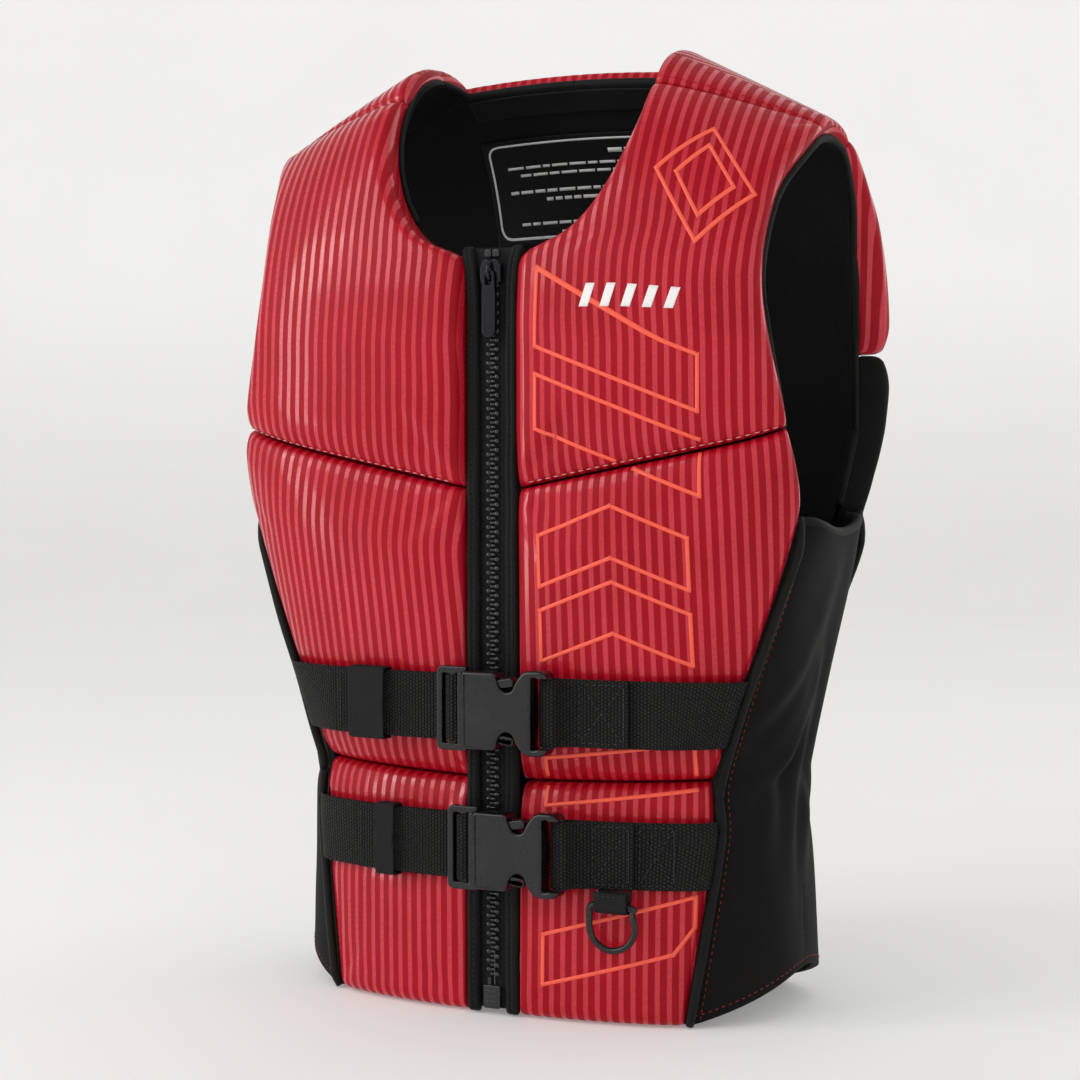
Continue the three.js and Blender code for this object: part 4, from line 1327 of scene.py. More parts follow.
def addZip():
    chainLow, chainHigh = nodeBox("left_zip_chain")
    top = nodeBox("left_top_stop")[0][2]
    middle = (chainLow[1] + chainHigh[1]) / 2
    tooth, body, caps = toothShape()
    tooth = tooth * [1, (chainHigh[1] - chainLow[1]) / 2, 1]
    for word, side in (("left", 1), ("right", -1)):
        start = chainLow[2] + 1.5 + (0 if side > 0 else zipValues["pitch"] / 2)
        levels = np.arange(start, top - 1.2, zipValues["pitch"])
        points = tooth[None] * np.array([-1.0, 1.0, 1.0]) + np.array([zipValues["headAt"], 0, 0])
        points = np.repeat(points, len(levels), 0)
        points[..., 2] += levels[:, None]
        points[..., 1] = middle - points[..., 1]
        points[..., 0] *= side
        shift = (np.arange(len(levels)) * len(tooth))[:, None, None]
        faces = [(body[None] + shift).reshape(-1, 4), (caps[None] + shift).reshape(-1, 8)]
        teeth = meshFrom(f"{word}_teeth", points.reshape(-1, 3), faces, finishes["teeth"])
        tidyNormals(teeth)
        beadAt = side * zipValues["beadAt"]
        bead = tube("bead", [[beadAt, middle, chainLow[2]], [beadAt, middle, chainHigh[2]]],
                    zipValues["beadRadius"], finishes["teeth"], 10)
        wear(join(f"{word}_zip_teeth", [teeth, bead]), "vest", "hardware_plastic", f"{word}_zip_chain")

        # The tape: a flat woven strip with a soft raised cord beside the teeth.
        low, high = nodeBox(f"{word}_zip_tape")
        across = np.linspace(*zipValues["tapeSides"], 24)
        along = np.linspace(low[2], high[2], 160)
        fromCord = (across - zipValues["cordAt"]) / zipValues["cordWide"]
        bulge = zipValues["cordHigh"] * np.exp(-fromCord ** 2)
        x = side * across[None, :] + 0 * along[:, None]
        front = low[1] - bulge[None, :] + 0 * along[:, None]
        outer = np.stack([x, front, along[:, None] + 0 * x], -1)
        inner = outer + np.array([0, zipValues["tapeThick"], 0])
        uv = np.stack([x, outer[..., 2]], -1)
        tape = bodyFrom(f"{word}_tape_cloth", outer, inner, finishes["tape"], uv, flip=side < 0)
        wear(tape, "vest", "zip_cloth", f"{word}_zip_tape")

        # The facing: a padded welt with two ridges, rounded off at both ends.
        low, high = nodeBox(f"{word}_zip_facing")
        angle = np.linspace(0, math.pi, 25)
        foot = 3 * (1 - np.cos(np.linspace(0, math.pi / 2, 6)))
        head = 9 * np.sin(np.linspace(0, math.pi / 2, 12))[1:]
        level = np.concatenate([zipValues["weltBottom"] + foot, np.linspace(6, 449, 150), 449 + head])
        fromTop = np.clip((zipValues["weltTop"] - level) / 9, 0, 1)
        fromLow = np.clip((level - zipValues["weltBottom"]) / 4, 0, 1)
        swellTop = np.sqrt(1 - (1 - fromTop) ** 2) * np.sqrt(1 - (1 - fromLow) ** 2) + 0.02
        groove = zipValues["grooveDeep"] * np.exp(-((angle - 1.52) / 0.17) ** 2)
        ridge = zipValues["weltHigh"] * np.sin(angle) ** 0.75 - groove
        sway = 0.35 * waver(level, 48, 3) + 3.4 * np.clip((level - 425) / 30, 0, 1) ** 2
        inX, outX = (low[0], high[0]) if side > 0 else (-high[0], -low[0])
        centre, half = (inX + outX) / 2 + sway, (outX - inX) / 2 + 0.15
        x = centre[:, None] - half * np.cos(angle)[None, :] * (0.55 + 0.45 * swellTop[:, None])
        y = high[1] + 0.2 - ridge[None, :] * swellTop[:, None]
        outer = np.stack([side * x, y, level[:, None] + 0 * x], -1)
        inner = outer.copy()
        inner[..., 1] = high[1] + 0.5
        uv = np.stack([x, outer[..., 2]], -1)
        welt = bodyFrom(f"{word}_zip_welt", outer, inner, finishes["piping"], uv, flip=side < 0)
        wear(welt, "vest", "black_neoprene", f"{word}_zip_facing")
        groove = outer[:, 12]
        out = np.tile([0.0, -1.0, 0.0], (len(groove), 1))
        wear(stitches(f"{word}_welt_stitches", [(groove[6:-8], out[6:-8])], finishes["blackThread"],
                      2.2, 1.3, 0.22, 0.2), "vest", "zip_cloth")

        low, high = nodeBox(f"{word}_top_stop")
        outline = roundOutline([[low[0], low[2], 0.9], [high[0], low[2], 0.9],
                                [high[0], high[2], 1.6], [low[0], high[2], 1.6]])
        stop = plate(f"{word}_stop", [outline], high[1] + 0.4, low[1] - 0.2, 0.6, finishes["teeth"])
        wear(crisp(stop), "vest", "hardware_plastic", f"{word}_top_stop")

    low, high = nodeBox("zip_retainer_box")
    outline = roundOutline([[low[0], low[2], 1.6], [high[0], low[2], 1.6],
                            [high[0], high[2], 1.0], [low[0], high[2], 1.0]])
    box = plate("retainer", [outline], high[1], low[1], 0.7, finishes["teeth"])
    rib = [[low[0] + 1.6, low[2] + 3.2, 0.8], [high[0] - 1.6, low[2] + 3.2, 0.8],
           [high[0] - 1.6, low[2] + 5.0, 0.8], [low[0] + 1.6, low[2] + 5.0, 0.8]]
    ribs = [plate("rib", [roundOutline(np.array(rib) + [0, 3.0 * k, 0])], low[1] + 0.5,
                  low[1] - 0.5, 0.35, finishes["teeth"]) for k in range(3)]
    wear(crisp(join("retainer_box", [box, *ribs])), "vest", "hardware_plastic", "zip_retainer_box")
    low, high = nodeBox("zip_insertion_pin")
    outline = roundOutline([[low[0], low[2], 1.0], [high[0], low[2], 1.0], [high[0], high[2], 0.5],
                            [low[0], high[2], 0.5]])
    pin = plate("insertion_pin", [outline], high[1], low[1], 0.5, finishes["teeth"])
    wear(crisp(pin), "vest", "hardware_plastic", "zip_insertion_pin")
    print("zip made")


# The slider is a shield of metal with a bridge; its outline narrows upwards to two horns.
def addSlider():
    low, high = nodeBox("zip_slider")
    pullLow, pullHigh = nodeBox("zip_pull")
    chainFront = nodeBox("left_zip_chain")[0][1]
    wide, base, top = high[0], low[2], high[2]
    outline = roundOutline([[-wide, base + 3, 3], [-wide + 1.6, base, 2], [wide - 1.6, base, 2],
                            [wide, base + 3, 3], [wide, top - 4, 3], [wide - 2.2, top, 2.2],
                            [1.2, top, 0.6], [0, top - 2.4, 1.2], [-1.2, top, 0.6],
                            [-wide + 2.2, top, 2.2], [-wide, top - 4, 3]])
    face = plate("slider_face", [outline], chainFront - 0.35, chainFront - 2.3, 0.75, finishes["metal"])
    walls = []
    for side in (-1, 1):
        edge = sorted([side * (wide - 1.3), side * wide])
        wall = roundOutline([[edge[0], base + 1.5, 0.5], [edge[1], base + 1.5, 0.5],
                             [edge[1], top - 2.5, 0.5], [edge[0], top - 2.5, 0.5]])
        walls.append(plate("slider_wall", [wall], high[1] - 0.1, chainFront - 1.2, 0.4,
                           finishes["metal"]))
    # The bridge: a strap that rises off the face and comes down again.
    t = np.linspace(0, 1, 16)
    front = low[1]
    rise = np.sin(math.pi * t) ** 0.5
    bridge = np.stack([0 * t, chainFront - 1.6 - (chainFront - 1.6 - front - 0.5) * rise,
                       mix(base + 2.6, top - 1.8, t)], 1)
    strap = tube("bridge", bridge, 1.35 - 0.45 * np.sin(math.pi * t), finishes["metal"], 12,
                 up=(1, 0, 0), squash=1.25)
    wear(crisp(join("slider_body", [face, *walls, strap]), 40), "zip_slider", "hardware_plastic",
         "zip_slider")

    # The pull: a tab with an eye round the bridge and a sunk panel near its free end.
    half, upper, lower = pullHigh[0], pullHigh[2], pullLow[2]
    eyeHalf = 2.15
    outline = roundOutline([[-half + 1.0, upper, 1.6], [half - 1.0, upper, 1.6],
                            [half - 0.4, upper - 9, 3],
                            [half, upper - 13, 3], [half, lower + 2.5, 2.2], [half - 2, lower, 2.2],
                            [-half + 2, lower, 2.2], [-half, lower + 2.5, 2.2],
                            [-half, upper - 13, 3], [-half + 0.4, upper - 9, 3]])
    lugLow = low[2] + 3
    eye = roundOutline([[-eyeHalf, lugLow + 2.8, 1.2], [-eyeHalf, lugLow - 3.4, 1.2],
                        [eyeHalf, lugLow - 3.4, 1.2], [eyeHalf, lugLow + 2.8, 1.2]])
    tab = plate("pull_tab", [outline, eye], pullHigh[1], pullLow[1], 0.55, finishes["metal"])
    panel = np.array([[-half + 1.7, lower + 17, 1.2], [half - 1.7, lower + 17, 1.2],
                      [half - 1.7, lower + 3.0, 1.6], [-half + 1.7, lower + 3.0, 1.6]])
    frameOuter = roundOutline(panel)
    frameInner = roundOutline(panel * [0.8, 1, 1] + [[0, -1, 0], [0, -1, 0], [0, 1, 0], [0, 1, 0]])
    rimPart = plate("pull_rim", [frameOuter, frameInner], pullLow[1] + 0.3, pullLow[1] - 0.28, 0.25,
                    finishes["metal"])
    slot = roundOutline([[-1.6, lower + 8.4, 0.8], [1.6, lower + 8.4, 0.8], [1.6, lower + 6.0, 0.8],
                         [-1.6, lower + 6.0, 0.8]])
    key = plate("pull_slot", [slot], pullLow[1] + 0.3, pullLow[1] - 0.25, 0.22, finishes["metal"])
    wear(crisp(join("pull_tab", [tab, rimPart, key]), 40), "zip_pull", "hardware_plastic", "zip_pull")


addZip()
addSlider()
print("slider made")


belts = {
    "thick": 1.8,
    "under": 2.8,  # the web on the vest, middle of its thickness above the surface
    "over": 5.0,
    "stitched": 90,
    "tuck": 10.0,
    "tuckReach": 18.0,
    "followReach": 55.0,
    "keeperAt": {"upper": -79, "lower": -68},
    "keeperWide": {"upper": 26, "lower": 14},
    "tailEnd": {"upper": -104, "lower": -92},
    "keeperInner": 1.0,
    "keeperOuter": 10.0,
    "keeperTall": 20.9,
}


# A web along a path in x and y, as a flat oval section carried along it: its two faces are
# flat and its edges round.
def webbing(name, path, low, high, thick, material, level=None):
    line = smoothPath(path, 2.4)
    along = unit(np.gradient(line, axis=0))
    off = np.stack([along[:, 1], -along[:, 0]], 1)
    if off[:, 1].mean() > 0:
        off = -off
    length = arcs(line)
    half = thick / 2
    bend = np.linspace(0, math.pi, 6)[1:-1]
    z = np.concatenate([np.linspace(low + half, high - half, 12), high - half + half * np.sin(bend),
                        np.linspace(high - half, low + half, 12), low + half - half * np.sin(bend)])
    lift = np.concatenate([np.full(12, half), half * np.cos(bend), np.full(12, -half),
                           -half * np.cos(bend)])
    rows, sides = len(line), len(z)
    points = np.empty((rows, sides, 3))
    points[..., :2] = line[:, None] + off[:, None] * lift[None, :, None]
    points[..., 2] = z[None, :]
    if level is not None:
        points = followSeam(points, level)
    body = quads(rows, sides, wrap=True)
    uvLine = np.stack([np.broadcast_to(length[:, None], (rows, sides + 1)),
                       np.broadcast_to(np.append(z, z[0])[None, :], (rows, sides + 1))], -1)
    corners = uvLine.reshape(-1, 2)[quads(rows, sides + 1)].reshape(-1, 2)
    capUv = np.stack([np.zeros(2 * sides), np.concatenate([z[::-1], z])], 1)
    piece = meshFrom(name, points.reshape(-1, 3), [body, endCaps(rows, sides)], material,
                     np.concatenate([corners, capUv]))
    tidyNormals(piece)
    return piece


# Points along the vest at a level, held off its surface, as x and y. At the side seams the
# web goes down with the edge of the panel.
def beltLine(level, start, end, off):
    x = np.linspace(start, end, max(3, int(abs(end - start) / 1.5)))
    turn = turnAt(x, level, np.zeros(len(x), bool))
    side = np.where(x < 0, -1.0, 1.0)
    toSeam = (float(outerEdge(level)) - np.abs(x)) * 1.3
    down = rollDown(toSeam, belts["tuckReach"], belts["tuck"])
    return inside(side, turn, np.full(len(x), float(level)), down - off)[:, :2]


# Near the side seam a web turns with the slanted edge of the panel, at each height by itself.
def followSeam(points, level):
    edge, side = float(outerEdge(level)), np.sign(points[..., 0])
    x = np.minimum(np.abs(points[..., 0]), edge - 0.1)
    share = np.clip(1 - (edge - x) / belts["followReach"], 0, 1)
    share = share * share * (3 - 2 * share)
    levels, run, front = np.full(x.shape, float(level)), points[..., 2], np.zeros(x.shape, bool)
    turn = turnAt(x, levels, front)
    ends = [turnAt(outerEdge(at), at, front) for at in (run, levels)]
    here = inside(side, turn * ends[0] / ends[1], run, np.zeros(x.shape))
    moved = here - inside(side, turn, levels, np.zeros(x.shape))
    moved[..., 2] = 0
    return points + moved * share[..., None]


# A thin elastic band round the web: its section is a rounded oblong, carried across.
def keeper(name, level, at, wide, middle, material):
    wall = 1.1
    tall, y0, y1 = belts["keeperTall"], -belts["keeperOuter"], -belts["keeperInner"]
    corner = 2.2
    outline = roundOutline([[y0, -tall, corner], [y0, tall, corner], [y1, tall, 1.0],
                            [y1, -tall, 1.0]], 6)
    outline = smoothPath(np.concatenate([outline, outline[:1]]), 1.6)[:-1]
    centre = outline.mean(0)
    grow = unit(outline - centre)
    x = np.array([0, 0.25, 1.2, 3.0, wide - 3.0, wide - 1.2, wide - 0.25, wide]) - wide / 2
    lifts = np.array([0.3, 0.8, 1.0, 1.0, 1.0, 1.0, 0.8, 0.3]) * wall
    rings = [outline + grow * lift for lift in lifts]
    rings += [outline for _ in x]
    xs = np.concatenate([x, x[::-1]])
    section = np.stack(rings)
    count = len(outline)
    points = np.concatenate([np.broadcast_to(xs[:, None, None], (len(xs), count, 1)), section], -1)
    faces = quads(len(xs), count, wrap=True, closed=True)
    length = arcs(outline)
    uvGrid = np.stack([np.broadcast_to(xs[:, None], (len(xs), count)),
                       np.broadcast_to(length, (len(xs), count))], -1).reshape(-1, 2)
    foot = beltLine(level, at - 0.5, at + 0.5, 0.0)
    step = foot[-1] - foot[0]
    yaw = math.atan2(step[1], step[0])
    c, s = math.cos(yaw), math.sin(yaw)
    flat = points.reshape(-1, 3)
    turned = np.stack([flat[:, 0] * c - flat[:, 1] * s, flat[:, 0] * s + flat[:, 1] * c,
                       flat[:, 2] + middle], 1)
    turned[:, :2] += foot.mean(0)
    piece = meshFrom(name, turned, [faces], material, uvGrid[faces].reshape(-1, 2))
    tidyNormals(piece)
    return piece


def addBelt(name):
    webLow, webHigh = nodeBox(f"{name}_right_web")
    low, high = webLow[2], webHigh[2]
    middle = (low + high) / 2
    start = nodeBox(f"{name}_buckle_male")[0][0]
    level = low if girth("front", low) > girth("front", high) else high
    datum = -float(girth("front", level))
    backPlane = nodeBox(f"{name}_buckle_female")[1][1]
    over = backPlane - 6
    seam = float(outerEdge(level)) - 0.6
    thick = belts["thick"]

    path = beltLine(level, -seam, start + 16, belts["under"])
    web = webbing(f"{name}_right_belt", path, low, high, thick, finishes["webbing"], level)
    wear(web, "vest", "webbing", f"{name}_right_web")

    # The tail: from its free end along the vest, round the buckle's bar and back behind it.
    tailLow = datum - belts["over"]
    bar = 4
    lead = beltLine(level, belts["tailEnd"][name], start - 2, belts["over"])
    turnPoints = np.array([[bar + 0.2, tailLow], [bar + 1.9, backPlane - 1.6], [bar + 2.4, over + 1],
                           [bar + 4.6, over], [bar + 7.8, over], [bar + 10, over + 1],
                           [bar + 10.5, backPlane - 1.6], [bar + 12, tailLow], [bar + 14.5, tailLow]])
    turnPoints[:, 0] += start
    path = roundCorners(np.concatenate([lead, turnPoints]))
    tail = webbing(f"{name}_tail_belt", path, low + 0.2, high - 0.2, thick - 0.2, finishes["webbing"])
    wear(tail, f"{name}_male", "webbing", f"{name}_tail_web")
    edge = beltLine(level, belts["tailEnd"][name] + 3.2, belts["tailEnd"][name] + 3.4,
                    belts["over"] + thick / 2)[0]
    rowLine = np.stack([np.full(30, edge[0]), np.full(30, edge[1]),
                        np.linspace(low + 2, high - 2, 30)], 1)
    out = np.tile([-0.25, -0.97, 0.0], (30, 1))
    wear(stitches(f"{name}_tail_stitches", [(rowLine, out)], finishes["blackThread"], 2.4, 1.2, 0.3,
                  0.25), f"{name}_male", "webbing")

    # The web sewn down on the other side: round the end bar and back on itself.
    barAt = 76 - 4 - 2
    end = start + 76
    lead = beltLine(level, seam, end + 4, belts["under"])
    lowPlane = datum - belts["under"]
    bend = np.array([[barAt + 1, lowPlane], [barAt - 2, backPlane - 0.4], [barAt - 2.4, backPlane - 3.6],
                     [barAt - 0.6, over - 0.5], [barAt + 7, over - 0.6], [barAt + 8.2, backPlane - 3.6],
                     [barAt + 10.5, backPlane - 0.4], [barAt + 14, tailLow]])
    bend[:, 0] += start
    back = beltLine(level, end + 13, belts["stitched"], belts["over"])
    path = roundCorners(np.concatenate([lead, bend, back]))
    web = webbing(f"{name}_left_belt", path, low + 0.2, high - 0.2, thick - 0.2, finishes["webbing"],
                  level)
    wear(web, "vest", "webbing", f"{name}_left_web")

    # A box of stitches with a cross in it, through both layers, and on the lower belt a second box on one
    # layer.
    lines = []
    boxes = [(end + 14, belts["stitched"] - 2.5, belts["over"] + thick / 2 - 0.1)]
    if name == "lower":
        boxes.append((belts["stitched"] + 3, belts["stitched"] + 22, belts["under"] + thick / 2 - 0.1))
    for left, right, off in boxes:
        corners = [(left, low + 3), (right, low + 3), (right, high - 3), (left, high - 3),
                   (left, low + 3), (right, high - 3), (right, low + 3), (left, high - 3)]
        for (x0, z0), (x1, z1) in zip(corners[:-1], corners[1:]):
            x, z = np.linspace(x0, x1, 24), np.linspace(z0, z1, 24)
            turn = turnAt(x, level, np.zeros(24, bool))
            spots, outward = inside(np.ones(24), turn, np.full(24, float(level)), np.full(24, -off), True)
            spots[:, 2] = z
            outward[:, 2] = 0
            lines.append((spots, outward))
    wear(stitches(f"{name}_belt_stitches", lines, finishes["blackThread"], 2.6, 1.3, 0.3, 0.28), "vest",
         "webbing")

    band = keeper(f"{name}_keeper_band", level, belts["keeperAt"][name], belts["keeperWide"][name],
                  middle, finishes["elastic"])
    wear(band, "vest", "webbing", f"{name}_keeper")


# Corners cut twice, which turns a bent line into a round one but keeps its ends.
def roundCorners(path):
    for _ in range(2):
        a, b = path[:-1], path[1:]
        cut = np.stack([mix(a, b, 0.25), mix(a, b, 0.75)], 1).reshape(-1, path.shape[1])
        path = np.concatenate([path[:1], cut[1:-1], path[-1:]])
    return path


for beltName in ("upper", "lower"):
    addBelt(beltName)
print("belts made")


buckle = {
    "half": 25.0,
    "frame": 20.0,
    "length": 76.0,
    "slot": 4.2,
    "bar": 4.0,
    "slotHalf": 20.8,
    "wall": 1.8,
    "housingHalf": 23.0,
    "housing": 22.0,
    "neck": 12.0,
    "notchEnd": 57.0,
    "prongEnd": 33.4,
    "tongueEnd": 50,
    "wayEnd": 52,
}


def addBuckle(name):
    femaleLow, femaleHigh = nodeBox(f"{name}_buckle_female")
    start, middle = nodeBox(f"{name}_buckle_male")[0][0], (femaleLow[2] + femaleHigh[2]) / 2
    front, back = femaleLow[1], femaleHigh[1]
    plastic = finishes["buckle"]
    half, slotHalf = buckle["half"], buckle["slotHalf"]

    def at(corners):
        return roundOutline([[start + x, middle + z, r] for x, z, r in corners], 7)

    # The male half: a ring with two slots and a bar between them, lower than the housing.
    outer = at([[0, -half, 4.5], [buckle["frame"], -half, 1.0], [buckle["frame"], half, 1.0],
                [0, half, 4.5]])
    holes = []
    for x in (buckle["bar"], buckle["bar"] + buckle["slot"] + 3.8):
        holes.append(at([[x, -slotHalf, 1.2], [x + buckle["slot"], -slotHalf, 1.2],
                         [x + buckle["slot"], slotHalf, 1.2], [x, slotHalf, 1.2]]))
    ring = plate("ring", [outer, *holes], back, back - 6, 1.0, plastic)
    barX = start + buckle["bar"] + buckle["slot"] - 0.4
    cutFront = block("cut", (barX, back - 9, middle - slotHalf),
                     (barX + 4.6, back - 4.4, middle + slotHalf), plastic)
    cutBack = block("cut", (barX, back - 1.0, middle - slotHalf),
                    (barX + 4.6, back + 3, middle + slotHalf), plastic)
    carve(ring, [cutFront, cutBack])
    insertBack, insertFront = back - buckle["wall"] - 0.4, front + buckle["wall"] + 0.4
    f, tip = buckle["frame"], buckle["tongueEnd"]
    shoulder = plate("shoulder", [at([[f - 3.4, -22, 1], [f, -22, 1], [f, 22, 1], [f - 3.4, 22, 1]])],
                     back - 0.2, insertFront, 0.8, plastic)
    tongue = plate("tongue", [at([[f - 1, -5, 0.5], [tip, -5, 2.5], [tip, 5, 2.5], [f - 1, 5, 0.5]])],
                   insertBack, insertFront, 0.8, plastic)
    male = join(f"{name}_male_half", [ring, shoulder, tongue])
    wear(crisp(male), f"{name}_male", "buckle_plastic", f"{name}_buckle_male")

    # The prongs: a spring leg and a round finger pad, which fills the housing's notch.
    padStart, padEnd = f + buckle["housing"] + 0.4, f + buckle["prongEnd"]
    latch = 19 - 0.4
    for word, up in (("top", 1), ("bottom", -1)):
        corners = [[f + 0.4, 12.4, 0.5], [padEnd - 9, 13.2, 4], [padEnd, 15.0, 1.2],
                   [padEnd + 0.4, 17.2, 1.2],
                   [padEnd - 1.2, latch + 1.7, 2.5], [(padStart + padEnd) / 2, latch + 0.9, 3],
                   [padStart, latch, 1], [padStart - 5, 16.8, 3], [f + 0.4, 16.8, 0.5]]
        outline = at([[x, up * z, r] for x, z, r in corners])
        prong = plate(f"{name}_{word}_prong", [outline], insertBack, insertFront, 0.9, plastic)
        grips = []
        for k in range(3):  # three fine ribs to press on
            x = start + padEnd - 8.0 + 2.6 * k
            z = middle + up * (latch + 0.85 + 0.27 * k)
            line = np.array([[x, mix(insertBack, insertFront, s), z] for s in np.linspace(0.16, 0.84, 6)])
            grips.append(tube("grip", line, 0.4, plastic, 8))
        wear(crisp(join(f"{name}_{word}_prong", [prong, *grips])), f"{name}_prong_{word}",
             "buckle_plastic", f"{name}_prong_{word}")

    # The female half: a box open at one end, scooped where the pads stand, and an eared bar.
    open_, wallEnd = f + 0.4, f + 0.4 + buckle["housing"]
    h, neck = buckle["housingHalf"], buckle["neck"]
    upper = [[open_, h, 1.6], [wallEnd, h, 2.4], [wallEnd + 0.6, neck + 5, 4], [wallEnd + 4.5, neck, 6],
             [buckle["notchEnd"] - 4.5, neck, 6], [buckle["notchEnd"] - 0.5, half - 5, 5],
             [buckle["notchEnd"] + 4.5, half, 5.5], [buckle["length"], half, 6.5]]
    outline = at(upper + [[x, -z, r] for x, z, r in upper[::-1]])
    webSlot = buckle["length"] - 6 - buckle["slot"] - 0.6
    hole = at([[webSlot, -slotHalf, 1.4], [webSlot + buckle["slot"], -slotHalf, 1.4],
               [webSlot + buckle["slot"], slotHalf, 1.4], [webSlot, slotHalf, 1.4]])
    shell = plate("shell", [outline, hole], back, front, 1.9, plastic)
    inner = h - 4
    cavity = block("cut", (start + open_ - 3, front + buckle["wall"], middle - inner),
                   (start + wallEnd + 3.2, back - buckle["wall"], middle + inner), plastic)
    way = block("cut", (start + open_ - 3, front + buckle["wall"], middle - 6),
                (start + buckle["wayEnd"], back - buckle["wall"], middle + 6), plastic)
    barFront = block("cut", (start + webSlot + 1.5, front - 2, middle - slotHalf),
                     (start + buckle["length"] + 3, back - 5.1, middle + slotHalf), plastic)
    barBack = block("cut", (start + webSlot + 1.5, back - 1.4, middle - slotHalf),
                    (start + buckle["length"] + 3, back + 3, middle + slotHalf), plastic)
    carve(shell, [cavity, way, barFront, barBack])
    # A raised line across the mouth.
    lip = plate("lip", [at([[open_ + 0.3, -h + 1.6, 0.8], [open_ + 2.6, -h + 1.6, 0.8],
                            [open_ + 2.6, h - 1.6, 0.8], [open_ + 0.3, h - 1.6, 0.8]])],
                front + 0.6, front, 0.25, plastic)
    female = join(f"{name}_female_half", [shell, lip])
    wear(crisp(female), "vest", "buckle_plastic", f"{name}_buckle_female")


for beltName in ("upper", "lower"):
    addBuckle(beltName)
print("buckles made")


def addRing():
    low, high = nodeBox("d_ring")
    radius = (high[1] - low[1]) / 2
    depth = (high[1] + low[1]) / 2
    left, right = low[0] + radius, high[0] - radius
    top, bottom = high[2] - radius, low[2] + radius
    centre, half = (left + right) / 2, (right - left) / 2
    bend = bottom + half
    angle = np.linspace(0, -math.pi, 30)
    arc = np.stack([centre + half * np.cos(angle), bend + half * np.sin(angle)], 1)
    corner = 2.6
    turnAngle = np.linspace(math.pi, math.pi / 2, 6)
    topLeft = np.stack([left + corner + corner * np.cos(turnAngle),
                        top - corner + corner * np.sin(turnAngle)], 1)
    topRight = np.stack([right - corner + corner * np.cos(turnAngle[::-1] - math.pi / 2),
                         top - corner + corner * np.sin(turnAngle[::-1] - math.pi / 2)], 1)
    bar = np.stack([np.linspace(left + corner, right - corner, 14)[1:-1], np.full(12, top)], 1)
    flat = np.concatenate([arc, topLeft, bar, topRight])
    path = np.stack([flat[:, 0], np.full(len(flat), depth), flat[:, 1]], 1)
    ring = tube("carry_ring", path, radius - 0.05, finishes["buckle"], 16, closed=True, up=(0, 1, 0))
    wear(ring, "d_ring", "hardware_plastic", "d_ring")

    # Its loop: a narrow web folded round the bar, both ends up behind the belt.
    low, high = nodeBox("d_ring_web_loop")
    r = radius + 1.6
    angle = np.linspace(math.pi, 2 * math.pi, 16)
    fold = np.stack([depth + r * np.cos(angle), top + r * np.sin(angle)], 1)
    up = high[2]
    path = np.concatenate([[[depth - r, up]], [[depth - r, up - 3]], fold, [[depth + r, up - 3]],
                           [[depth + r, up]]])
    line = smoothPath(path, 1.2)
    along = unit(np.gradient(line, axis=0))
    off = np.stack([-along[:, 1], along[:, 0]], 1)
    t = np.linspace(0, 2 * math.pi, 28, endpoint=False)
    across = np.sign(np.cos(t)) * np.abs(np.cos(t)) ** 0.25 * (high[0] - low[0]) / 2
    lift = np.sign(np.sin(t)) * np.abs(np.sin(t)) ** 0.6 * 0.8
    points = np.empty((len(line), len(t), 3))
    points[..., 0] = across[None] + (low[0] + high[0]) / 2
    points[..., 1] = line[:, None, 0] + off[:, None, 0] * lift
    points[..., 2] = line[:, None, 1] + off[:, None, 1] * lift
    length = arcs(line)
    body, caps = quads(len(line), len(t), wrap=True), endCaps(len(line), len(t))
    grid = np.stack([np.broadcast_to(length[:, None], points.shape[:2]), points[..., 0]], -1)
    grid = grid.reshape(-1, 2)
    uv = np.concatenate([grid[body].reshape(-1, 2), grid[caps].reshape(-1, 2)])
    loop = meshFrom("carry_ring_loop", points.reshape(-1, 3), [body, caps], finishes["elastic"], uv)
    tidyNormals(loop)
    wear(loop, "vest", "webbing", "d_ring_web_loop")
    front = np.stack([np.linspace(low[0] + 1.5, high[0] - 1.5, 20), np.full(20, depth - r - 0.75),
                      np.full(20, up - 2.2)], 1)
    wear(stitches("carry_loop_stitches", [(front, np.tile([0.0, -1.0, 0.0], (20, 1)))],
                  finishes["blackThread"], 2.2, 1.1, 0.26, 0.2), "vest", "webbing")


addRing()
print("ring made")


# Finds points of one panel at an x and a path: the nearest grid point, then a step along the
# grid's own slopes.
def onPanel(panel, wanted, lift):
    x, path, points, outward = panel["x"], panel["path"], panel["points"], panel["outward"]
    rows, columns = x.shape
    gap = (x.ravel()[None] - wanted[:, :1]) ** 2 + (path.ravel()[None] - wanted[:, 1:]) ** 2
    nearest = gap.argmin(1)
    i, j = nearest // columns, nearest % columns
    i, j = np.clip(i, 1, rows - 2), np.clip(j, 1, columns - 2)

    def slopes(values):
        return (values[i, j + 1] - values[i, j - 1]) / 2, (values[i + 1, j] - values[i - 1, j]) / 2
    xa, xb = slopes(x)
    pa, pb = slopes(path)
    dx, dp = wanted[:, 0] - x[i, j], wanted[:, 1] - path[i, j]
    scale = xa * pb - xb * pa
    a, b = (dx * pb - dp * xb) / scale, (dp * xa - dx * pa) / scale
    sa, sb = slopes(points)
    spot = points[i, j] + a[:, None] * sa + b[:, None] * sb
    curveA = (points[i, j + 1] - 2 * points[i, j] + points[i, j - 1]) / 2
    curveB = (points[i + 1, j] - 2 * points[i, j] + points[i - 1, j]) / 2
    spot = spot + (a ** 2)[:, None] * curveA + (b ** 2)[:, None] * curveB
    outs = outward[i, j]
    return spot + outs * lift, outs


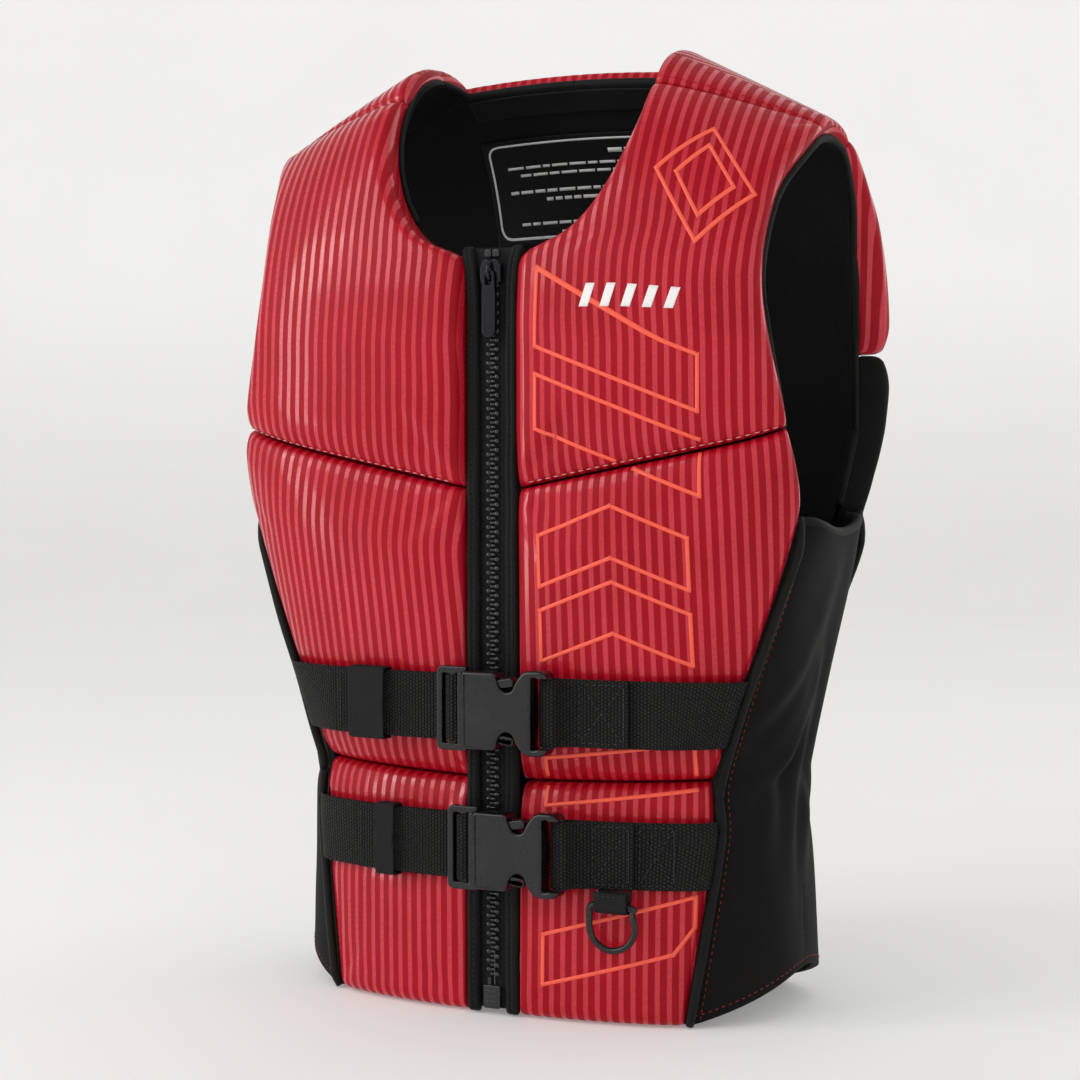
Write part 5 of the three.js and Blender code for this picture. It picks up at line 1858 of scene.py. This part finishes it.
# A ribbon of ink along a closed line of x and path points, cut where a seam crosses it.
def printLine(corners, width, find, step=1.6, closed=True):
    corners = np.asarray(corners, float)
    ring = np.concatenate([corners, corners[:1]]) if closed else corners
    pieces = []
    for a, b in zip(ring[:-1], ring[1:]):
        along = (b - a) / np.linalg.norm(b - a)
        across = np.array([-along[1], along[0]]) * width / 2
        a, b = a - along * width / 2, b + along * width / 2
        count = max(2, int(np.linalg.norm(b - a) / step))
        t = np.linspace(0, 1, count)[:, None]
        line = mix(a, b, t)
        grid = np.stack([line - across, line, line + across], 1)
        pieces.append(grid)
    out = []
    for grid in pieces:
        owner = find(grid[:, 1])
        for name in dict.fromkeys(owner):
            if name is None:
                continue
            mine = np.array([o == name for o in owner])
            chosen = grid[mine]
            if len(chosen) < 2:
                continue
            spots, outs = onPanel(panels[name], chosen.reshape(-1, 2), 0.16)
            out.append((spots.reshape(-1, 3, 3), outs.reshape(-1, 3, 3)))
    return out


# A filled patch between two lines, for bars.
def printBar(low, high, find, columns=8, rows=6):
    t = np.linspace(0, 1, columns)[None, :, None]
    s = np.linspace(0, 1, rows)[:, None, None]
    grid = mix(mix(*map(np.array, low), t), mix(*map(np.array, high), t), s)
    name = find(grid.reshape(-1, 2)[:1])[0]
    spots, outs = onPanel(panels[name], grid.reshape(-1, 2), 0.2)
    return [(spots.reshape(rows, columns, 3), outs.reshape(rows, columns, 3))]


# Ink: each strip is a thin body, so that it has a front, a back and edges.
def inkPiece(name, strips, material, thick=0.1):
    points, faces = [], []
    total = 0
    for grid, outs in strips:
        rows, columns = grid.shape[:2]
        count = rows * columns
        normal = np.cross(grid[1, 0] - grid[0, 0], grid[0, 1] - grid[0, 0])
        flip = bool(normal @ outs[0, 0] > 0)
        points += [grid.reshape(-1, 3), (grid - outs * thick).reshape(-1, 3)]
        faces.append(quads(rows, columns, total, flip=flip))
        faces.append(quads(rows, columns, total + count, flip=not flip))
        loop = rim(rows, columns) + total
        strip = np.stack([np.roll(loop, -1), loop, loop + count, np.roll(loop, -1) + count], 1)
        faces.append(strip[:, ::-1] if flip else strip)
        total += 2 * count
    return meshFrom(name, np.concatenate(points), faces, material)


graphics = {
    "width": 2.3,
    # Closed outlines in x and path: slanted bars, chevrons and a lozenge.
    "outlines": [
        [[34, 22], [112, 44], [124, 60], [124, 78], [34, 52]],
        [[34, 128], [124, 140], [124, 168], [34, 156]],
        [[34, 214], [80, 232], [126, 214], [126, 244], [80, 262], [34, 244]],
        [[34, 258], [80, 276], [126, 258], [126, 288], [80, 306], [34, 288]],
        [[34, 350], [134, 312], [134, 344], [34, 382]],
        [[34, 398], [134, 360], [134, 392], [34, 430]],
        [[130, 446], [160, 478], [130, 512], [102, 478]],
        [[130, 459], [148, 479], [130, 500], [114, 479]],
    ],
    "marks": 5,
    "markLeft": 62,
    "markPath": 414,
    "markHigh": 9.5,
    "markWide": 5.6,
    "markStep": 13.0,
    "markLean": 4.0,
    "clear": 2.2,
}


def leftPanelAt(wanted):
    x, path = wanted[:, 0], wanted[:, 1]
    share = panelShare(x, path)
    names = []
    for s, p in zip(share, path):
        waist, chest, yoke = (mix(seams[k][0], seams[k][1], s) for k in ("waist", "chest", "yoke"))
        clear = graphics["clear"]
        name = None
        if clear < p < waist - clear:
            name = "left_waist"
        elif waist + clear < p < chest - clear:
            name = "left_middle"
        elif chest + clear < p < yoke - clear:
            name = "left_chest"
        names.append(name)
    return names


def panelShare(x, path):
    inner, outer = innerEdge(path), outerEdge(path)
    return np.clip((x - inner) / (outer - inner), 0, 1)


def addPrint():
    strips = []
    for outline in graphics["outlines"]:
        strips += printLine(outline, graphics["width"], leftPanelAt)
    wear(inkPiece("chest_outline_print", strips, finishes["print"]), "vest", "striped_neoprene")
    strips = []
    for k in range(graphics["marks"]):
        left = graphics["markLeft"] + graphics["markStep"] * k
        low, high = graphics["markPath"], graphics["markPath"] + graphics["markHigh"]
        lean = graphics["markLean"]
        strips += printBar([(left, low), (left + graphics["markWide"], low)],
                           [(left + lean, high), (left + lean + graphics["markWide"], high)], leftPanelAt)
    wear(inkPiece("chest_bar_print", strips, finishes["whitePrint"], 0.1), "vest", "striped_neoprene")


addPrint()


# The label's border and its rows of dashes, which stand for small print.
def addLabelPrint():
    depth = lambda path: thickness(path) + 1.4

    def laid(x, run):
        path = backEnd - run
        spot, outward = place(x, path, depth(path) + 0.7 + 0.12, normals=True)
        return spot, -outward

    half, low, high = label["half"] - label["border"], label["low"] + 4, label["high"] - 4
    strips = []
    outline = roundOutline([[-half, low, label["corner"]], [half, low, label["corner"]],
                            [half, high, label["corner"]], [-half, high, label["corner"]]], 9)
    ring = smoothPath(np.concatenate([outline, outline[:1]]), 2.0)[:-1]
    along = unit(np.roll(ring, -1, 0) - np.roll(ring, 1, 0))
    across = np.stack([-along[:, 1], along[:, 0]], 1) * label["borderWidth"] / 2
    loop = np.concatenate([ring, ring[:1]])
    offset = np.concatenate([across, across[:1]])
    grid = np.stack([loop - offset, loop + offset], 1)
    strips.append(laid(grid[..., 0], grid[..., 1]))
    for up, share, tall in label["rows"]:
        at = 0.0
        total = (2 * half - 14) * share
        while at < total:
            dash = float(dice.uniform(4, 13))
            dash = min(dash, total - at)
            if dash < 1.5:
                break
            left = half - 8 - at
            x = np.linspace(left, left - dash, max(2, int(dash / 2) + 1))
            run = high - up + np.array([0, tall])
            grid = np.stack(np.meshgrid(x, run), -1)
            strips.append(laid(grid[..., 0], grid[..., 1]))
            at += dash + 1.6
    return inkPiece("label_print", strips, finishes["labelInk"], 0.1)


wear(addLabelPrint(), "vest", "label_cloth")
print("prints made")
